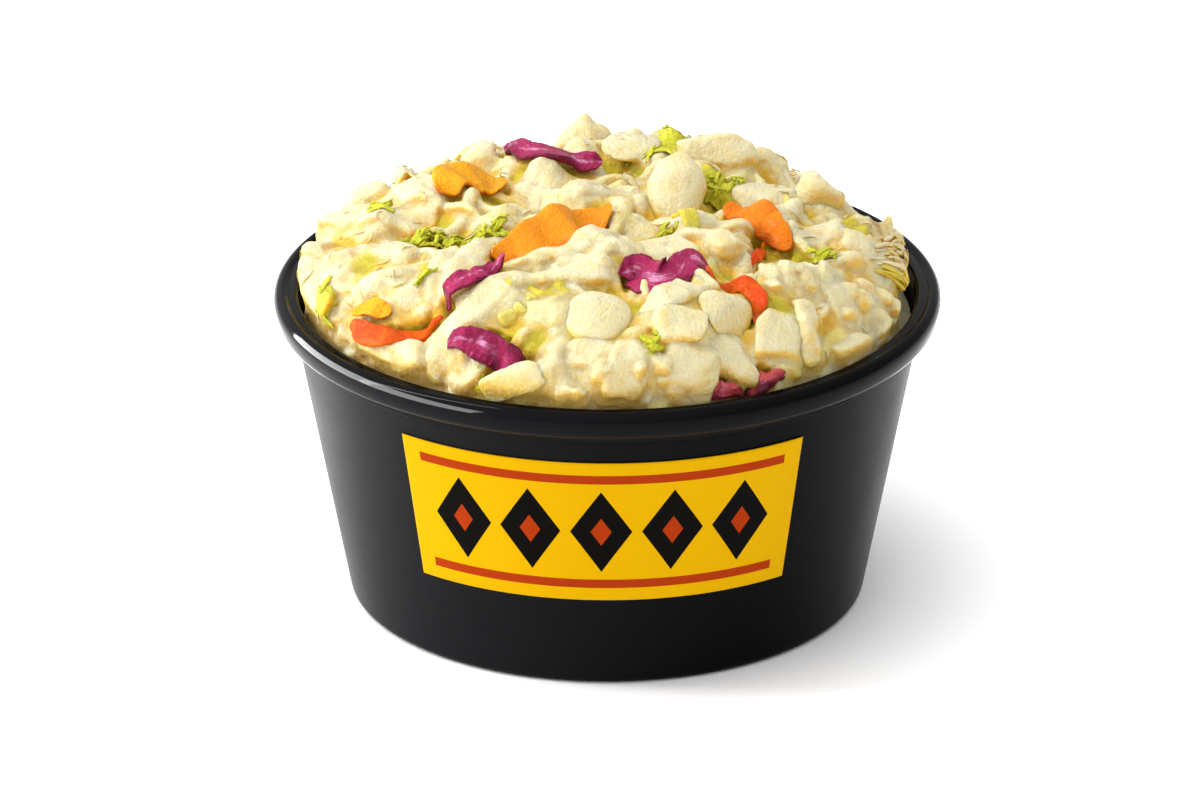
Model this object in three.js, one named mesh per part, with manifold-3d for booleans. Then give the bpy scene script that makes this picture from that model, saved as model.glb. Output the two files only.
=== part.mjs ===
// Coleslaw heaped in a black plastic side cup with a plain yellow label, in millimetres, +Z up.
// The origin is on the table under the middle of the cup, and the label faces -Y.
import * as THREE from "three";
import { mergeVertices } from "three/addons/utils/BufferGeometryUtils.js";
import Module from "manifold-3d";

const wasm = await Module();
wasm.setup();

// ---- Driving dimensions ----

const CUP_HEIGHT = 48.2;
const RIM_RADIUS = 50;
const BASE_RADIUS = 38.5; // where the wall's line would meet the table
const WALL_TAPER = 0.196; // outward run for each unit of height
const WALL_THICKNESS = 1;
const FLOOR_TOP = 2.4;
const UNDERSIDE = 1.3; // the floor stands this far clear of the table, inside the foot ring
const FOOT_INNER_RADIUS = 36.2;
const FOOT_FILLET = 1.6;
const BEAD_HALF_WIDTH = 1.5; // the rolled edge round the rim
const BEAD_DROP = 1.7; // from the rim's top down to its widest level
const COLLAR_LOW = CUP_HEIGHT - 6; // a shallow step in the wall under the rim
const CUP_SEGMENTS = 60;

const LABEL_LOW = 15;
const LABEL_HIGH = 39;
const LABEL_MIDDLE_DEG = -1.2; // from the cup's front, towards +X
const LABEL_SPREAD_DEG = 79.5;
const LABEL_THICKNESS = 0.2;
const LABEL_GAP = 0.1;
const LABEL_SEGMENTS = 18;

const CLEARANCE = 0.3; // between the slaw and the cup
const HEAP_RADIUS = 45.6;
const HEAP_LEAN = 0.7; // the heap stands this far to -X of the cup's middle
const HEAP_EDGE = 46.8; // height at which the heap meets the wall
const HEAP_RISE = 14.6;
const HEAP_SQUARENESS = 4.8; // 2 is a round dome, and more gives fuller shoulders
const CORE_SINK = 0.5; // the core lies this far under the heap's mean surface
const CORE_RINGS = 13;
const CORE_SEGMENTS = 44;
const SCATTERED_PIECES = 90;
const SPACING = 5; // least distance from a scattered piece to a placed one
const GOLDEN_ANGLE = Math.PI * (3 - Math.sqrt(5));
const LOOKING_DOWN = THREE.MathUtils.degToRad(22.97); // how steeply a person at the table looks down
const EYE_LEVEL = 46.5; // a height of nought is here, over the cup's middle
const TOP_LIFT = 0.7; // the loose top lies a little over the heap's mean surface

// ---- Colours ----

const PLASTIC = new THREE.MeshStandardMaterial({ color: "#17181a", roughness: 0.35 });
const PRINT = new THREE.MeshStandardMaterial({ color: "#f5c400", roughness: 0.4 });
const CABBAGE = new THREE.MeshStandardMaterial({ color: "#ece3b0", roughness: 0.45 });

// ---- Small helpers ----

// A repeatable number from 0 to 1 for each whole number.
function draw(index) {
  const wave = Math.sin(index * 12.9898) * 43758.5453;
  return wave - Math.floor(wave);
}

function between(index, low, high) {
  return low + (high - low) * draw(index);
}

function wallRadius(z) {
  return BASE_RADIUS + WALL_TAPER * z;
}

// Points of an arc in the radius and height plane, from one angle to another in degrees.
function arc(radius, height, across, up, fromDeg, toDeg, steps) {
  return Array.from({ length: steps + 1 }, (_, i) => {
    const angle = THREE.MathUtils.degToRad(fromDeg + ((toDeg - fromDeg) * i) / steps);
    return [radius + across * Math.cos(angle), height + up * Math.sin(angle)];
  });
}

// Turns a profile of [radius, height] points round the Z axis.
function turned(profile, segments) {
  const points = profile.map(([radius, height]) => new THREE.Vector2(radius, height));
  return new THREE.LatheGeometry(points, segments).rotateX(Math.PI / 2);
}

function solidOf(geometry) {
  const bare = geometry.clone();
  bare.deleteAttribute("normal");
  bare.deleteAttribute("uv");
  const merged = mergeVertices(bare, 1e-4);
  return new wasm.Manifold(
    new wasm.Mesh({
      numProp: 3,
      vertProperties: merged.attributes.position.array,
      triVerts: new Uint32Array(merged.index.array),
    }),
  );
}

function geometryOf(solid) {
  const { vertProperties, triVerts } = solid.getMesh();
  return new THREE.BufferGeometry()
    .setAttribute("position", new THREE.BufferAttribute(new Float32Array(vertProperties), 3))
    .setIndex(new THREE.BufferAttribute(new Uint32Array(triVerts), 1));
}

// Moves every vertex of a geometry to the place that a function gives for it.
function reshaped(geometry, place) {
  const position = geometry.attributes.position;
  const vertex = new THREE.Vector3();
  for (let i = 0; i < position.count; i += 1) {
    vertex.copy(place(vertex.fromBufferAttribute(position, i)));
    position.setXYZ(i, vertex.x, vertex.y, vertex.z);
  }
  return geometry;
}

// ---- Cup: a turned shell with a foot ring, a collar and a rolled double rim ----

const rimTop = [
  ...arc(RIM_RADIUS - BEAD_HALF_WIDTH, CUP_HEIGHT - BEAD_DROP, BEAD_HALF_WIDTH, BEAD_DROP, 0, 90, 4),
  [RIM_RADIUS - 2.4, CUP_HEIGHT - 0.5],
  [RIM_RADIUS - 3.1, CUP_HEIGHT - 0.35],
  [RIM_RADIUS - 3.7, CUP_HEIGHT - 1.1],
];

const outside = [
  [0, UNDERSIDE],
  [FOOT_INNER_RADIUS - 1, UNDERSIDE],
  [FOOT_INNER_RADIUS, 0],
  ...arc(wallRadius(FOOT_FILLET) - FOOT_FILLET, FOOT_FILLET, FOOT_FILLET, FOOT_FILLET, -90, 0, 3),
  [wallRadius(COLLAR_LOW), COLLAR_LOW],
  [wallRadius(COLLAR_LOW) + 0.5, COLLAR_LOW + 0.5],
  [wallRadius(COLLAR_LOW) + 0.75, CUP_HEIGHT - 3.9],
  [RIM_RADIUS - 1.3, CUP_HEIGHT - 4.3],
  [RIM_RADIUS - 0.5, CUP_HEIGHT - 3.9],
];

function insideRadius(z) {
  return wallRadius(z) - WALL_THICKNESS;
}

const inside = [
  [insideRadius(CUP_HEIGHT - 3), CUP_HEIGHT - 3],
  [insideRadius(FLOOR_TOP + 2), FLOOR_TOP + 2],
  [insideRadius(FLOOR_TOP) - 1.8, FLOOR_TOP],
  [0, FLOOR_TOP],
];

function makeCup() {
  return turned([...outside, ...rimTop, ...inside], CUP_SEGMENTS);
}

// ---- Label: a thin skin bent round the front of the wall ----

function makeLabel() {
  const spread = THREE.MathUtils.degToRad(LABEL_SPREAD_DEG);
  const middle = THREE.MathUtils.degToRad(LABEL_MIDDLE_DEG);
  const blank = new THREE.BoxGeometry(1, LABEL_HIGH - LABEL_LOW, LABEL_THICKNESS, LABEL_SEGMENTS, 1, 1);
  return reshaped(blank, ({ x, y, z }) => {
    const height = (LABEL_LOW + LABEL_HIGH) / 2 + y;
    const angle = middle + x * spread;
    const radius = wallRadius(height) + LABEL_GAP + LABEL_THICKNESS / 2 + z;
    return new THREE.Vector3(radius * Math.sin(angle), -radius * Math.cos(angle), height);
  });
}

// ---- The heap's surface ----

function lumps(x, y) {
  const fine = 0.7 * Math.sin(x / 3.3 + 1.1) * Math.cos(y / 3.9 - 0.4);
  const broad = 0.5 * Math.sin((x - 1.4 * y) / 5.1 + 2.3);
  return fine + broad;
}

// Low places of the heap: across, back, reach and depth.
const DENTS = [
  [-24, 26, 5, 3], [-39, 20, 6, 2.2], [-14, 31, 4, 1.2], [-8, 31, 4.5, 1.8], [2, 31, 5, 1.6], [35, 19, 5, 2.6],
];

// Where the slaw stays off the wall: direction, spread and distance.
const GAPS = [[2.6, 0.3, 3], [0.15, 0.4, 1.6]];

function dents(x, y) {
  return DENTS.reduce((sum, [dentX, dentY, reach, depth]) => {
    return sum + depth * Math.exp(-((x - dentX) ** 2 + (y - dentY) ** 2) / reach ** 2);
  }, 0);
}

function offWall(x, y) {
  return GAPS.reduce((sum, [direction, spread, distance]) => {
    const turn = Math.abs(Math.atan2(y, x) - direction);
    return sum + distance * Math.exp(-((Math.min(turn, 2 * Math.PI - turn) / spread) ** 2));
  }, 0);
}

function heapHeight(x, y) {
  const share = Math.min(1, Math.hypot(x + HEAP_LEAN, y) / HEAP_RADIUS);
  const full = 1 - share ** HEAP_SQUARENESS;
  return HEAP_EDGE + HEAP_RISE * full + lumps(x, y) * full - dents(x, y);
}

function heapNormal(x, y) {
  const step = 0.8;
  const slopeX = (heapHeight(x + step, y) - heapHeight(x - step, y)) / (2 * step);
  const slopeY = (heapHeight(x, y + step) - heapHeight(x, y - step)) / (2 * step);
  return new THREE.Vector3(-slopeX, -slopeY, 1).normalize();
}

// The slaw's packed inside: it fills the cup and carries the pieces that show. The profile's top is
// level at first, and every vertex on it is then moved up or down to the heap.
function makeCore() {
  const level = 1;
  const low = FLOOR_TOP + 2 * CLEARANCE;
  const reach = insideRadius(CUP_HEIGHT - 3) - 2 * CLEARANCE;
  const top = Array.from({ length: CORE_RINGS + 1 }, (_, i) => {
    return [reach * Math.cos((i / CORE_RINGS) * (Math.PI / 2)), level];
  });
  const bottom = [[0, low], [insideRadius(low) - 2.6, low], [insideRadius(low + 2) - 0.8, low + 2]];
  return reshaped(turned([...bottom, ...top], CORE_SEGMENTS), ({ x, y, z }) => {
    if (z !== level) return new THREE.Vector3(x, y, z);
    const pull = 1 - (offWall(x, y) / reach) * (Math.hypot(x, y) / reach) ** 6;
    return new THREE.Vector3(x * pull, y * pull, heapHeight(x, y) - CORE_SINK);
  });
}

// The plan place where a line of sight meets the heap: so far across and up, as it looks from the front.
function seenPlace([across, up]) {
  const half = Math.sqrt(Math.max(HEAP_RADIUS ** 2 - (across + HEAP_LEAN) ** 2, 1));
  const steps = 400;
  let highest = -Infinity;
  let crest = -half;
  for (let i = 0; i <= steps; i += 1) {
    const y = half * ((2 * i) / steps - 1);
    const height = heapHeight(across, y) - lumps(across, y) + TOP_LIFT;
    const shown = (height - EYE_LEVEL) * Math.cos(LOOKING_DOWN) + y * Math.sin(LOOKING_DOWN);
    if (shown >= up) return [across, y];
    if (shown > highest) {
      highest = shown;
      crest = y;
    }
  }
  return [across, crest];
}

// ---- Pieces of vegetable ----

// A flat sheet of unit size, with both faces split into triangles alike.
function makeSheet(columns, rows) {
  const face = new THREE.PlaneGeometry(1, 1, columns, rows);
  const top = Array.from(face.attributes.position.array, (value, i) => (i % 3 === 2 ? 0.5 : value));
  const bottom = top.map((value, i) => (i % 3 === 2 ? -0.5 : value));
  const below = top.length / 3;
  const row = columns + 1;
  const border = [
    ...Array.from({ length: columns }, (_, i) => i),
    ...Array.from({ length: rows }, (_, i) => columns + i * row),
    ...Array.from({ length: columns }, (_, i) => rows * row + columns - i),
    ...Array.from({ length: rows }, (_, i) => (rows - i) * row),
  ];
  const walls = border.flatMap((here, i) => {
    const next = border[(i + 1) % border.length];
    return [here, next, next + below, here, next + below, here + below];
  });
  const over = Array.from(face.index.array);
  const under = over.map((vertex) => vertex + below).reverse();
  return new THREE.BufferGeometry()
    .setAttribute("position", new THREE.BufferAttribute(new Float32Array([...top, ...bottom]), 3))
    .setIndex([...over, ...under, ...walls]);
}

// Straight blanks, one unit wide, long and thick, with their length along Y.
const BLANKS = {
  ribbon: () => new THREE.CylinderGeometry(0.5, 0.5, 1, 5, 5),
  chunk: () => new THREE.SphereGeometry(0.5, 6, 4),
  leaf: () => makeSheet(2, 3),
};

// How wide a piece is at a share t of its length.
const TAPERS = {
  ribbon: (t) => 0.4 + 0.6 * Math.sqrt(Math.sin(Math.PI * THREE.MathUtils.clamp(t, 0.03, 0.97))),
  chunk: () => 1,
  leaf: (t) => 0.7 + 0.3 * Math.sin(Math.PI * t),
};

// How far a piece waves up and down at a share t of its length and u of its width.
const WAVES = {
  ribbon: () => 0,
  chunk: () => 0,
  leaf: (t, u) => 0.9 * Math.sin(7 * t + 5 * u),
};

// What a piece measures unless it says otherwise: its inset is the least distance to the heap's edge.
const USUAL = {
  ribbon: { bow: 0, width: 3.4, thickness: 2.2, lift: 0.3, twist: 0.7, inset: 1.5 },
  chunk: { bow: 0, width: 6.6, thickness: 5, lift: 0.3, twist: 0, inset: 2.4 },
  leaf: { bow: 0, width: 7, thickness: 1.2, lift: 0.3, twist: 0.2, inset: 2.4 },
};

// A point on the heap at a share t of the way along a piece, whose route bows to the left.
function routePoint(piece, t) {
  const [fromX, fromY] = piece.from;
  const run = new THREE.Vector3(piece.to[0] - fromX, piece.to[1] - fromY, 0);
  const left = new THREE.Vector3(-run.y, run.x, 0).normalize();
  const point = new THREE.Vector3(fromX, fromY, 0)
    .addScaledVector(run, t)
    .addScaledVector(left, 4 * piece.bow * t * (1 - t))
    .clampLength(0, HEAP_RADIUS - piece.inset);
  point.clampLength(0, HEAP_RADIUS - piece.inset - offWall(point.x, point.y));
  return point.setZ(heapHeight(point.x, point.y));
}

// Bends a blank along its route, so that its thickness stands on the heap's slope.
function makePiece(piece) {
  const step = 0.04;
  return reshaped(BLANKS[piece.form](), ({ x, y, z }) => {
    const t = y + 0.5;
    const middle = routePoint(piece, t);
    const along = routePoint(piece, t + step).sub(routePoint(piece, t - step)).normalize();
    const across = new THREE.Vector3().crossVectors(along, heapNormal(middle.x, middle.y)).normalize();
    const up = new THREE.Vector3().crossVectors(across, along);
    const turn = piece.twist * (t - 0.5);
    const taper = TAPERS[piece.form](t);
    const side = x * piece.width * taper;
    const rise = z * piece.thickness * taper + WAVES[piece.form](t, x);
    return middle
      .addScaledVector(up, piece.lift + rise * Math.cos(turn) + side * Math.sin(turn))
      .addScaledVector(across, side * Math.cos(turn) - rise * Math.sin(turn));
  });
}

// ---- Pieces with a place of their own ----
// They run from one place to another, some by way of a third. Each place is so far across and up as it looks
// from the front.

const RED_CABBAGE = [
  { form: "ribbon", from: [-15.3, 22], by: [-8.8, 19.5], to: [-0.8, 19.4], width: 3.4 },
  { form: "ribbon", from: [1.5, 3], by: [8.5, 2.6], to: [15.9, 4.6], width: 4.6, thickness: 1.8, lift: 0.9 },
  { form: "ribbon", from: [-23.9, -1.6], by: [-19, 2], to: [-15.2, 5], width: 2.6 },
  { form: "ribbon", from: [-23.2, -8.4], by: [-17.5, -7.6], to: [-11.2, -11.6], width: 3.8 },
  { form: "ribbon", from: [12.8, -14.8], by: [16, -13.2], to: [19.4, -13.4], width: 3 },
  { form: "ribbon", from: [20.4, -13.2], by: [22.8, -11.6], to: [26, -9.9], width: 3.2 },
];

const CARROT = [
  { form: "ribbon", from: [-17.5, 6.5], by: [-8.5, 9.6], to: [0.8, 13.2], width: 5.4, lift: 0.7 },
  { form: "ribbon", from: [-37, -5.1], by: [-31.3, -6.7], to: [-24, -2.2], width: 3.4 },
  { form: "ribbon", from: [14.4, 2.6], by: [20, 1], to: [21.6, -4.5], width: 2.8 },
  { form: "ribbon", from: [17.3, 14.4], by: [22.8, 12], to: [27.6, 8.6], width: 4.2 },
  { form: "ribbon", from: [-24.6, 14.4], by: [-19.5, 17], to: [-14.8, 17.5], width: 4.4 },
  { form: "ribbon", from: [-36.6, -4.4], to: [-31, -2.8], width: 2.2 },
];

const GREEN_LEAF = [
  { form: "leaf", from: [-29, 9.5], to: [-15.5, 11.3], width: 5 },
  { form: "leaf", from: [5, 21.5], to: [16, 23], width: 5 },
  { form: "leaf", from: [15, 17], to: [21, 18.2], width: 5 },
  { form: "leaf", from: [-43.5, 2.6], to: [-40, -3], width: 4 },
];

const WHITE_CABBAGE = [
  { form: "chunk", from: [-6, -1.6], to: [3, -4.4], width: 7.8, thickness: 6.4 },
  { form: "chunk", from: [8.8, 18.2], to: [12.4, 13.8], width: 8.6, thickness: 8 },
  { form: "chunk", from: [28.6, 16], to: [35, 15], width: 6.4, thickness: 7, lift: 1.8 },
  { form: "chunk", from: [12.6, -4], to: [21, -3.2], width: 7, thickness: 6 },
  { form: "chunk", from: [6.8, -6.8], to: [14.8, -4.8], width: 5, thickness: 4.4 },
  { form: "chunk", from: [2, -8.8], to: [2.4, -15], width: 5.8, thickness: 4.4 },
  { form: "chunk", from: [11.6, -8.4], to: [12, -15], width: 6.4, thickness: 4.4 },
  { form: "chunk", from: [14, -8.6], to: [23, -9.4], width: 5 },
  { form: "chunk", from: [23.4, -2.8], to: [25, -10.4], width: 6.4 },
  { form: "chunk", from: [27.8, 1.4], to: [39, -3.4], width: 5 },
  { form: "chunk", from: [31.2, -9], to: [40.2, -6.6], width: 6 },
  { form: "chunk", from: [-44.4, 3.2], to: [-44.4, 7], width: 4.6, inset: 1, lift: 0.6 },
  { form: "chunk", from: [-18.5, -12.6], to: [-8.5, -14], width: 5 },
  { form: "chunk", from: [-20.6, 20.8], to: [-14, 21.8], width: 6, thickness: 7.4, lift: 0.8 },
  { form: "chunk", from: [-5.2, 23], to: [-0.6, 23], width: 4.6, thickness: 9.6, lift: 1.4 },
  { form: "leaf", from: [33.5, 6], to: [43.5, 2.6], width: 9, thickness: 2.4 },
  { form: "ribbon", from: [-25.5, -15], by: [-18.6, -1.5], to: [2.5, 3.6], width: 4.8, lift: 0.7 },
  { form: "ribbon", from: [13, 9], by: [19.5, 4], to: [25, -5], width: 2.4, lift: 0.5 },
  { form: "ribbon", from: [27.2, -1.5], to: [29.5, -11], width: 3.6 },
  { form: "ribbon", from: [15.5, 2.6], by: [10.5, -0.8], to: [5.5, -4.5], width: 4.8, thickness: 3.2, lift: 0.7 },
  { form: "leaf", from: [9.5, 24], to: [18, 23.5], width: 9, lift: 1.3 },
  { form: "leaf", from: [-42, 3], to: [-28, 4], width: 11 },
  { form: "leaf", from: [-37, 13], to: [-26, 15], width: 11 },
];

// How far to its left a piece bows on its way by a third place.
function bowOf(from, by, to) {
  const run = new THREE.Vector2(to[0] - from[0], to[1] - from[1]);
  return new THREE.Vector2(by[0] - from[0], by[1] - from[1]).cross(run) / -run.length();
}

function inPlan(piece) {
  const [from, to] = [seenPlace(piece.from), seenPlace(piece.to)];
  return { ...piece, from, to, bow: piece.by ? bowOf(from, seenPlace(piece.by), to) : 0 };
}

const PLACED = [...RED_CABBAGE, ...CARROT, ...GREEN_LEAF, ...WHITE_CABBAGE].map(inPlan);

// ---- Pieces scattered between them ----

// Scattered pieces follow a sunflower's spiral, so that they cover the heap evenly.
function scatteredPiece(index) {
  const reach = (HEAP_RADIUS - 2.5) * Math.sqrt((index + 0.5) / SCATTERED_PIECES);
  const middle = new THREE.Vector2(reach, 0).rotateAround(new THREE.Vector2(), index * GOLDEN_ANGLE);
  const form = ["chunk", "ribbon", "leaf", "chunk", "ribbon"][index % 5];
  const halves = { ribbon: [5, 9], chunk: [3, 4.6], leaf: [3.6, 5.4] };
  const half = new THREE.Vector2(between(index, ...halves[form]), 0);
  half.rotateAround(new THREE.Vector2(), between(index + 100, 0, Math.PI));
  return {
    form,
    from: middle.clone().sub(half).toArray(),
    to: middle.clone().add(half).toArray(),
    bow: form === "ribbon" ? between(index + 200, -3, 3) : 0,
    twist: between(index + 300, -1, 1),
    width: USUAL[form].width * between(index + 400, 0.75, 1.1),
  };
}

function withUsual(piece) {
  return { ...USUAL[piece.form], ...piece };
}

// A scattered piece is skipped where it would bury a placed one.
function isClear(piece) {
  const middle = routePoint(piece, 0.5);
  return PLACED.map(withUsual).every((other) => {
    return [0.15, 0.5, 0.85].every((t) => routePoint(other, t).distanceTo(middle) > SPACING);
  });
}

// ---- Slaw: core and pieces fused into one solid, cut clear of the cup ----

// All the room that the cup takes up, grown by the clearance and carried out past the rim.
function makeCupRoom() {
  const wall = [FLOOR_TOP + 2, CUP_HEIGHT - 3].map((z) => [insideRadius(z) - CLEARANCE, z]);
  const floor = [[0, FLOOR_TOP + CLEARANCE], [insideRadius(FLOOR_TOP) - 2.1, FLOOR_TOP + CLEARANCE]];
  const over = rimTop.map(([radius, height]) => [radius - CLEARANCE, height + CLEARANCE]).reverse();
  const beyond = [[RIM_RADIUS + 10, CUP_HEIGHT], [RIM_RADIUS + 10, -5], [0, -5]];
  return turned([...floor, ...wall, ...over, ...beyond].reverse(), CUP_SEGMENTS);
}

function makeSlaw() {
  const scattered = Array.from({ length: SCATTERED_PIECES }, (_, i) => withUsual(scatteredPiece(i)));
  const pieces = [...PLACED.map(withUsual), ...scattered.filter(isClear)];
  const fused = wasm.Manifold.union([makeCore(), ...pieces.map(makePiece)].map(solidOf));
  const trimmed = fused.subtract(solidOf(makeCupRoom()));
  const [heap] = trimmed.decompose().sort((a, b) => b.volume() - a.volume());
  return geometryOf(heap);
}

// ---- The object ----

function part(name, geometry, material) {
  const mesh = new THREE.Mesh(geometry, material);
  mesh.name = name;
  return mesh;
}

const coleslawCup = new THREE.Group();
coleslawCup.add(
  part("cup", makeCup(), PLASTIC),
  part("label", makeLabel(), PRINT),
  part("slaw", makeSlaw(), CABBAGE),
);

export default coleslawCup;
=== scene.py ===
# %% [markdown]
# # A cup of coleslaw
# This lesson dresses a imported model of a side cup: a black moulded cup, a yellow label and a heap of
# coleslaw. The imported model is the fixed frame. It gives every place and size, and nothing here moves it.

# %% Load the frame
import math

import bmesh
import bpy
import numpy as np
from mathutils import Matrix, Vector
from mathutils.kdtree import KDTree


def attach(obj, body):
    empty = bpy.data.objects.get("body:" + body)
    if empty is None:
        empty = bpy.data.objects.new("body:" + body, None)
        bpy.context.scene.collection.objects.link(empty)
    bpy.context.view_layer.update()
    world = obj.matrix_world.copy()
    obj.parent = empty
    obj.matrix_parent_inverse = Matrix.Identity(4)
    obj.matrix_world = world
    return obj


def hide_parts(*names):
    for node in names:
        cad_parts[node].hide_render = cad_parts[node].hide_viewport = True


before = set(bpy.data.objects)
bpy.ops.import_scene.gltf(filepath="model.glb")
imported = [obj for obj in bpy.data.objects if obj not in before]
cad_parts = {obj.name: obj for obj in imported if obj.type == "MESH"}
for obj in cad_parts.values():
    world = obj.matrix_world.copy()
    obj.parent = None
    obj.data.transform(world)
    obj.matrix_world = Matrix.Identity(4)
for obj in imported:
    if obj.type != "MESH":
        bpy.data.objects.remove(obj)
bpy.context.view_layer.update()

MM = 0.001
print("nodes:", sorted(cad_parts))

# %% [markdown]
# ## Two helpers for colour and nodes
# Colours are written as sRGB hex values, as a picture editor shows them. Blender's shaders expect linear
# light, so one function turns hex into linear numbers. A second one adds a node with its settings and links,
# which keeps each material short enough to read.

# %% Colour and node helpers
# add() gives back the node itself, or one of its outputs where one is named.
def linear(hex_colour):
    values = [int(hex_colour[i:i + 2], 16) / 255 for i in (1, 3, 5)]
    return [v / 12.92 if v <= 0.04045 else ((v + 0.055) / 1.055) ** 2.4 for v in values] + [1.0]


def new_material(name):
    material = bpy.data.materials.new(name)
    material.use_nodes = True
    material.node_tree.nodes.clear()
    return material, material.node_tree


def add(tree, kind, settings=None, inputs=None, output=None):
    """Adds a node with its settings and its inputs, each a value to set or a socket to link."""
    node = tree.nodes.new(kind)
    for name, value in (settings or {}).items():
        setattr(node, name, value)
    for name, value in (inputs or {}).items():
        if isinstance(value, bpy.types.NodeSocket):
            tree.links.new(value, node.inputs[name])
        else:
            node.inputs[name].default_value = value
    return node if output is None else node.outputs[output]


# %% [markdown]
# ## From arrays to a mesh
# Each piece of vegetable is computed as an array of points in millimetres. Blender takes such arrays in one
# go through from_pydata and foreach_set, which is far quicker than adding vertices one at a time. Every point
# may also carry numbers of its own, such as how deep it lies in the heap, and the materials read those as
# attributes.

# %% Mesh helpers
def give_attributes(mesh, attributes):
    """Stores numbers for each point of a mesh: one a point, or three."""
    for key, values in attributes.items():
        values = np.asarray(values, np.float32)
        kind, field = ("FLOAT", "value") if values.ndim == 1 else ("FLOAT_VECTOR", "vector")
        mesh.attributes.new(key, kind, "POINT").data.foreach_set(field, values.ravel())


def show_mesh(mesh, smooth=True):
    """Puts a mesh in the scene as an object of the same name."""
    mesh.polygons.foreach_set("use_smooth", [smooth] * len(mesh.polygons))
    piece = bpy.data.objects.new(mesh.name, mesh)
    bpy.context.scene.collection.objects.link(piece)
    return piece


def make_mesh(name, points, faces, attributes=None, smooth=True):
    mesh = bpy.data.meshes.new(name)
    mesh.from_pydata((np.asarray(points) * MM).tolist(), [], faces)
    give_attributes(mesh, attributes or {})
    return show_mesh(mesh, smooth)


def count_triangles(mesh):
    return sum(len(face.vertices) - 2 for face in mesh.polygons)


# %% What every piece says of itself
def finish_piece(piece, material, node):
    """Gives a piece its material, puts it on what it rides on and hides the frame's node it stands for."""
    piece.data.materials.append(material)
    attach(piece, "root")
    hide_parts(node)
    print(f"{piece.name}: {count_triangles(piece.data)} triangles")


# %% [markdown]
# ## The cup
# The real cup is injection-moulded polypropylene, black right through. Its wall leans out by about eleven
# degrees, so that cups stack. A shallow collar stiffens it under the rim, and the rim is a rolled bead with
# a second ridge inside it. A turned profile is the natural way to make it: the same half outline as the
# frame's cup, with more points on the rounds, swept once round the axis.

# %% Cup dimensions, in millimetres
CUP_HEIGHT = 48.2
RIM_RADIUS = 50.0
BASE_RADIUS = 38.5
WALL_TAPER = 0.196  # the radius gained for each millimetre up
WALL_THICKNESS = 1.0
FLOOR_TOP = 2.4
UNDERSIDE = 1.3  # the base is recessed inside its foot ring
FOOT_INNER_RADIUS = 36.2
FOOT_FILLET = 1.6
COLLAR_LOW = CUP_HEIGHT - 6
CUP_STEPS = 256


def wall_radius(z):
    return BASE_RADIUS + WALL_TAPER * z


def arc(radius, height, across, up, start, end, steps):
    """Points on part of an ellipse, from one angle in degrees to another."""
    angles = np.radians(np.linspace(start, end, steps + 1))
    return [(radius + across * math.cos(a), height + up * math.sin(a)) for a in angles]


print(f"rim {2 * RIM_RADIUS:.0f} mm across, base {2 * BASE_RADIUS:.0f} mm across")

# %% Half outline of the cup: radius and height of each point
rim_top = [  # the bead, the groove behind it and the inner ridge
    *arc(RIM_RADIUS - 1.5, CUP_HEIGHT - 1.7, 1.5, 1.7, 0, 84, 12),
    *arc(RIM_RADIUS - 2.2, CUP_HEIGHT + 0.1, 0.45, 0.6, -30, -120, 4),
    *arc(RIM_RADIUS - 3.1, CUP_HEIGHT - 0.95, 0.6, 0.6, 70, 180, 8),
]
foot_radius = wall_radius(FOOT_FILLET) - FOOT_FILLET
outside = [
    (0, UNDERSIDE),
    (FOOT_INNER_RADIUS - 1, UNDERSIDE),
    (FOOT_INNER_RADIUS, 0),
    *arc(foot_radius, FOOT_FILLET, FOOT_FILLET, FOOT_FILLET, -90, -10, 8),
    (wall_radius(COLLAR_LOW) - 0.02, COLLAR_LOW - 0.1),
    *arc(wall_radius(COLLAR_LOW), COLLAR_LOW + 0.55, 0.5, 0.5, -80, 0, 5),
    (wall_radius(COLLAR_LOW) + 0.72, CUP_HEIGHT - 4.3),
    *arc(RIM_RADIUS - 1.3, CUP_HEIGHT - 3.4, 0.9, 0.9, -140, -60, 6),
    (RIM_RADIUS - 0.28, CUP_HEIGHT - 3.4),
]
inside = [
    (wall_radius(CUP_HEIGHT - 3) - WALL_THICKNESS, CUP_HEIGHT - 3),
    (wall_radius(FLOOR_TOP + 2) - WALL_THICKNESS, FLOOR_TOP + 2),
    *arc(wall_radius(FLOOR_TOP) - WALL_THICKNESS - 1.8, FLOOR_TOP + 1.8, 1.8, 1.8, 0, -90, 6),
    (0, FLOOR_TOP),
]
profile = np.array([*outside, *rim_top, *inside])
print("points in the half outline:", len(profile))


# %% Turn the outline
def turned(profile, steps):
    """Points and faces of a profile turned about Z. Its first and last points lie on the axis."""
    angles = np.linspace(0, 2 * math.pi, steps, endpoint=False)
    middle = profile[1:-1]
    rings = [[(r * math.cos(a), r * math.sin(a), z) for a in angles] for r, z in middle]
    points = [p for ring in rings for p in ring] + [(0, 0, profile[0][1]), (0, 0, profile[-1][1])]
    faces = []
    for row in range(len(middle) - 1):
        for i in range(steps):
            j = (i + 1) % steps
            faces.append((row * steps + i, row * steps + j, (row + 1) * steps + j, (row + 1) * steps + i))
    low, high = len(points) - 2, len(points) - 1
    last = (len(middle) - 1) * steps
    for i in range(steps):
        j = (i + 1) % steps
        faces.append((low, j, i))
        faces.append((high, last + i, last + j))
    return points, faces


cup = make_mesh("moulded_cup", *turned(profile, CUP_STEPS))
print("points in the cup:", len(cup.data.vertices))

# %% [markdown]
# ## Black polypropylene
# Moulded polypropylene has a low, soft gloss. The mould was finely textured, which leaves a grain like that
# of leather, about half a millimetre across, and it shows wherever light grazes the wall. The rim comes from
# a polished part of the mould and is glossier, so it gets a finish of its own. The colour is a deep black
# pigment, so nearly all that the eye sees is reflection.

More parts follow.
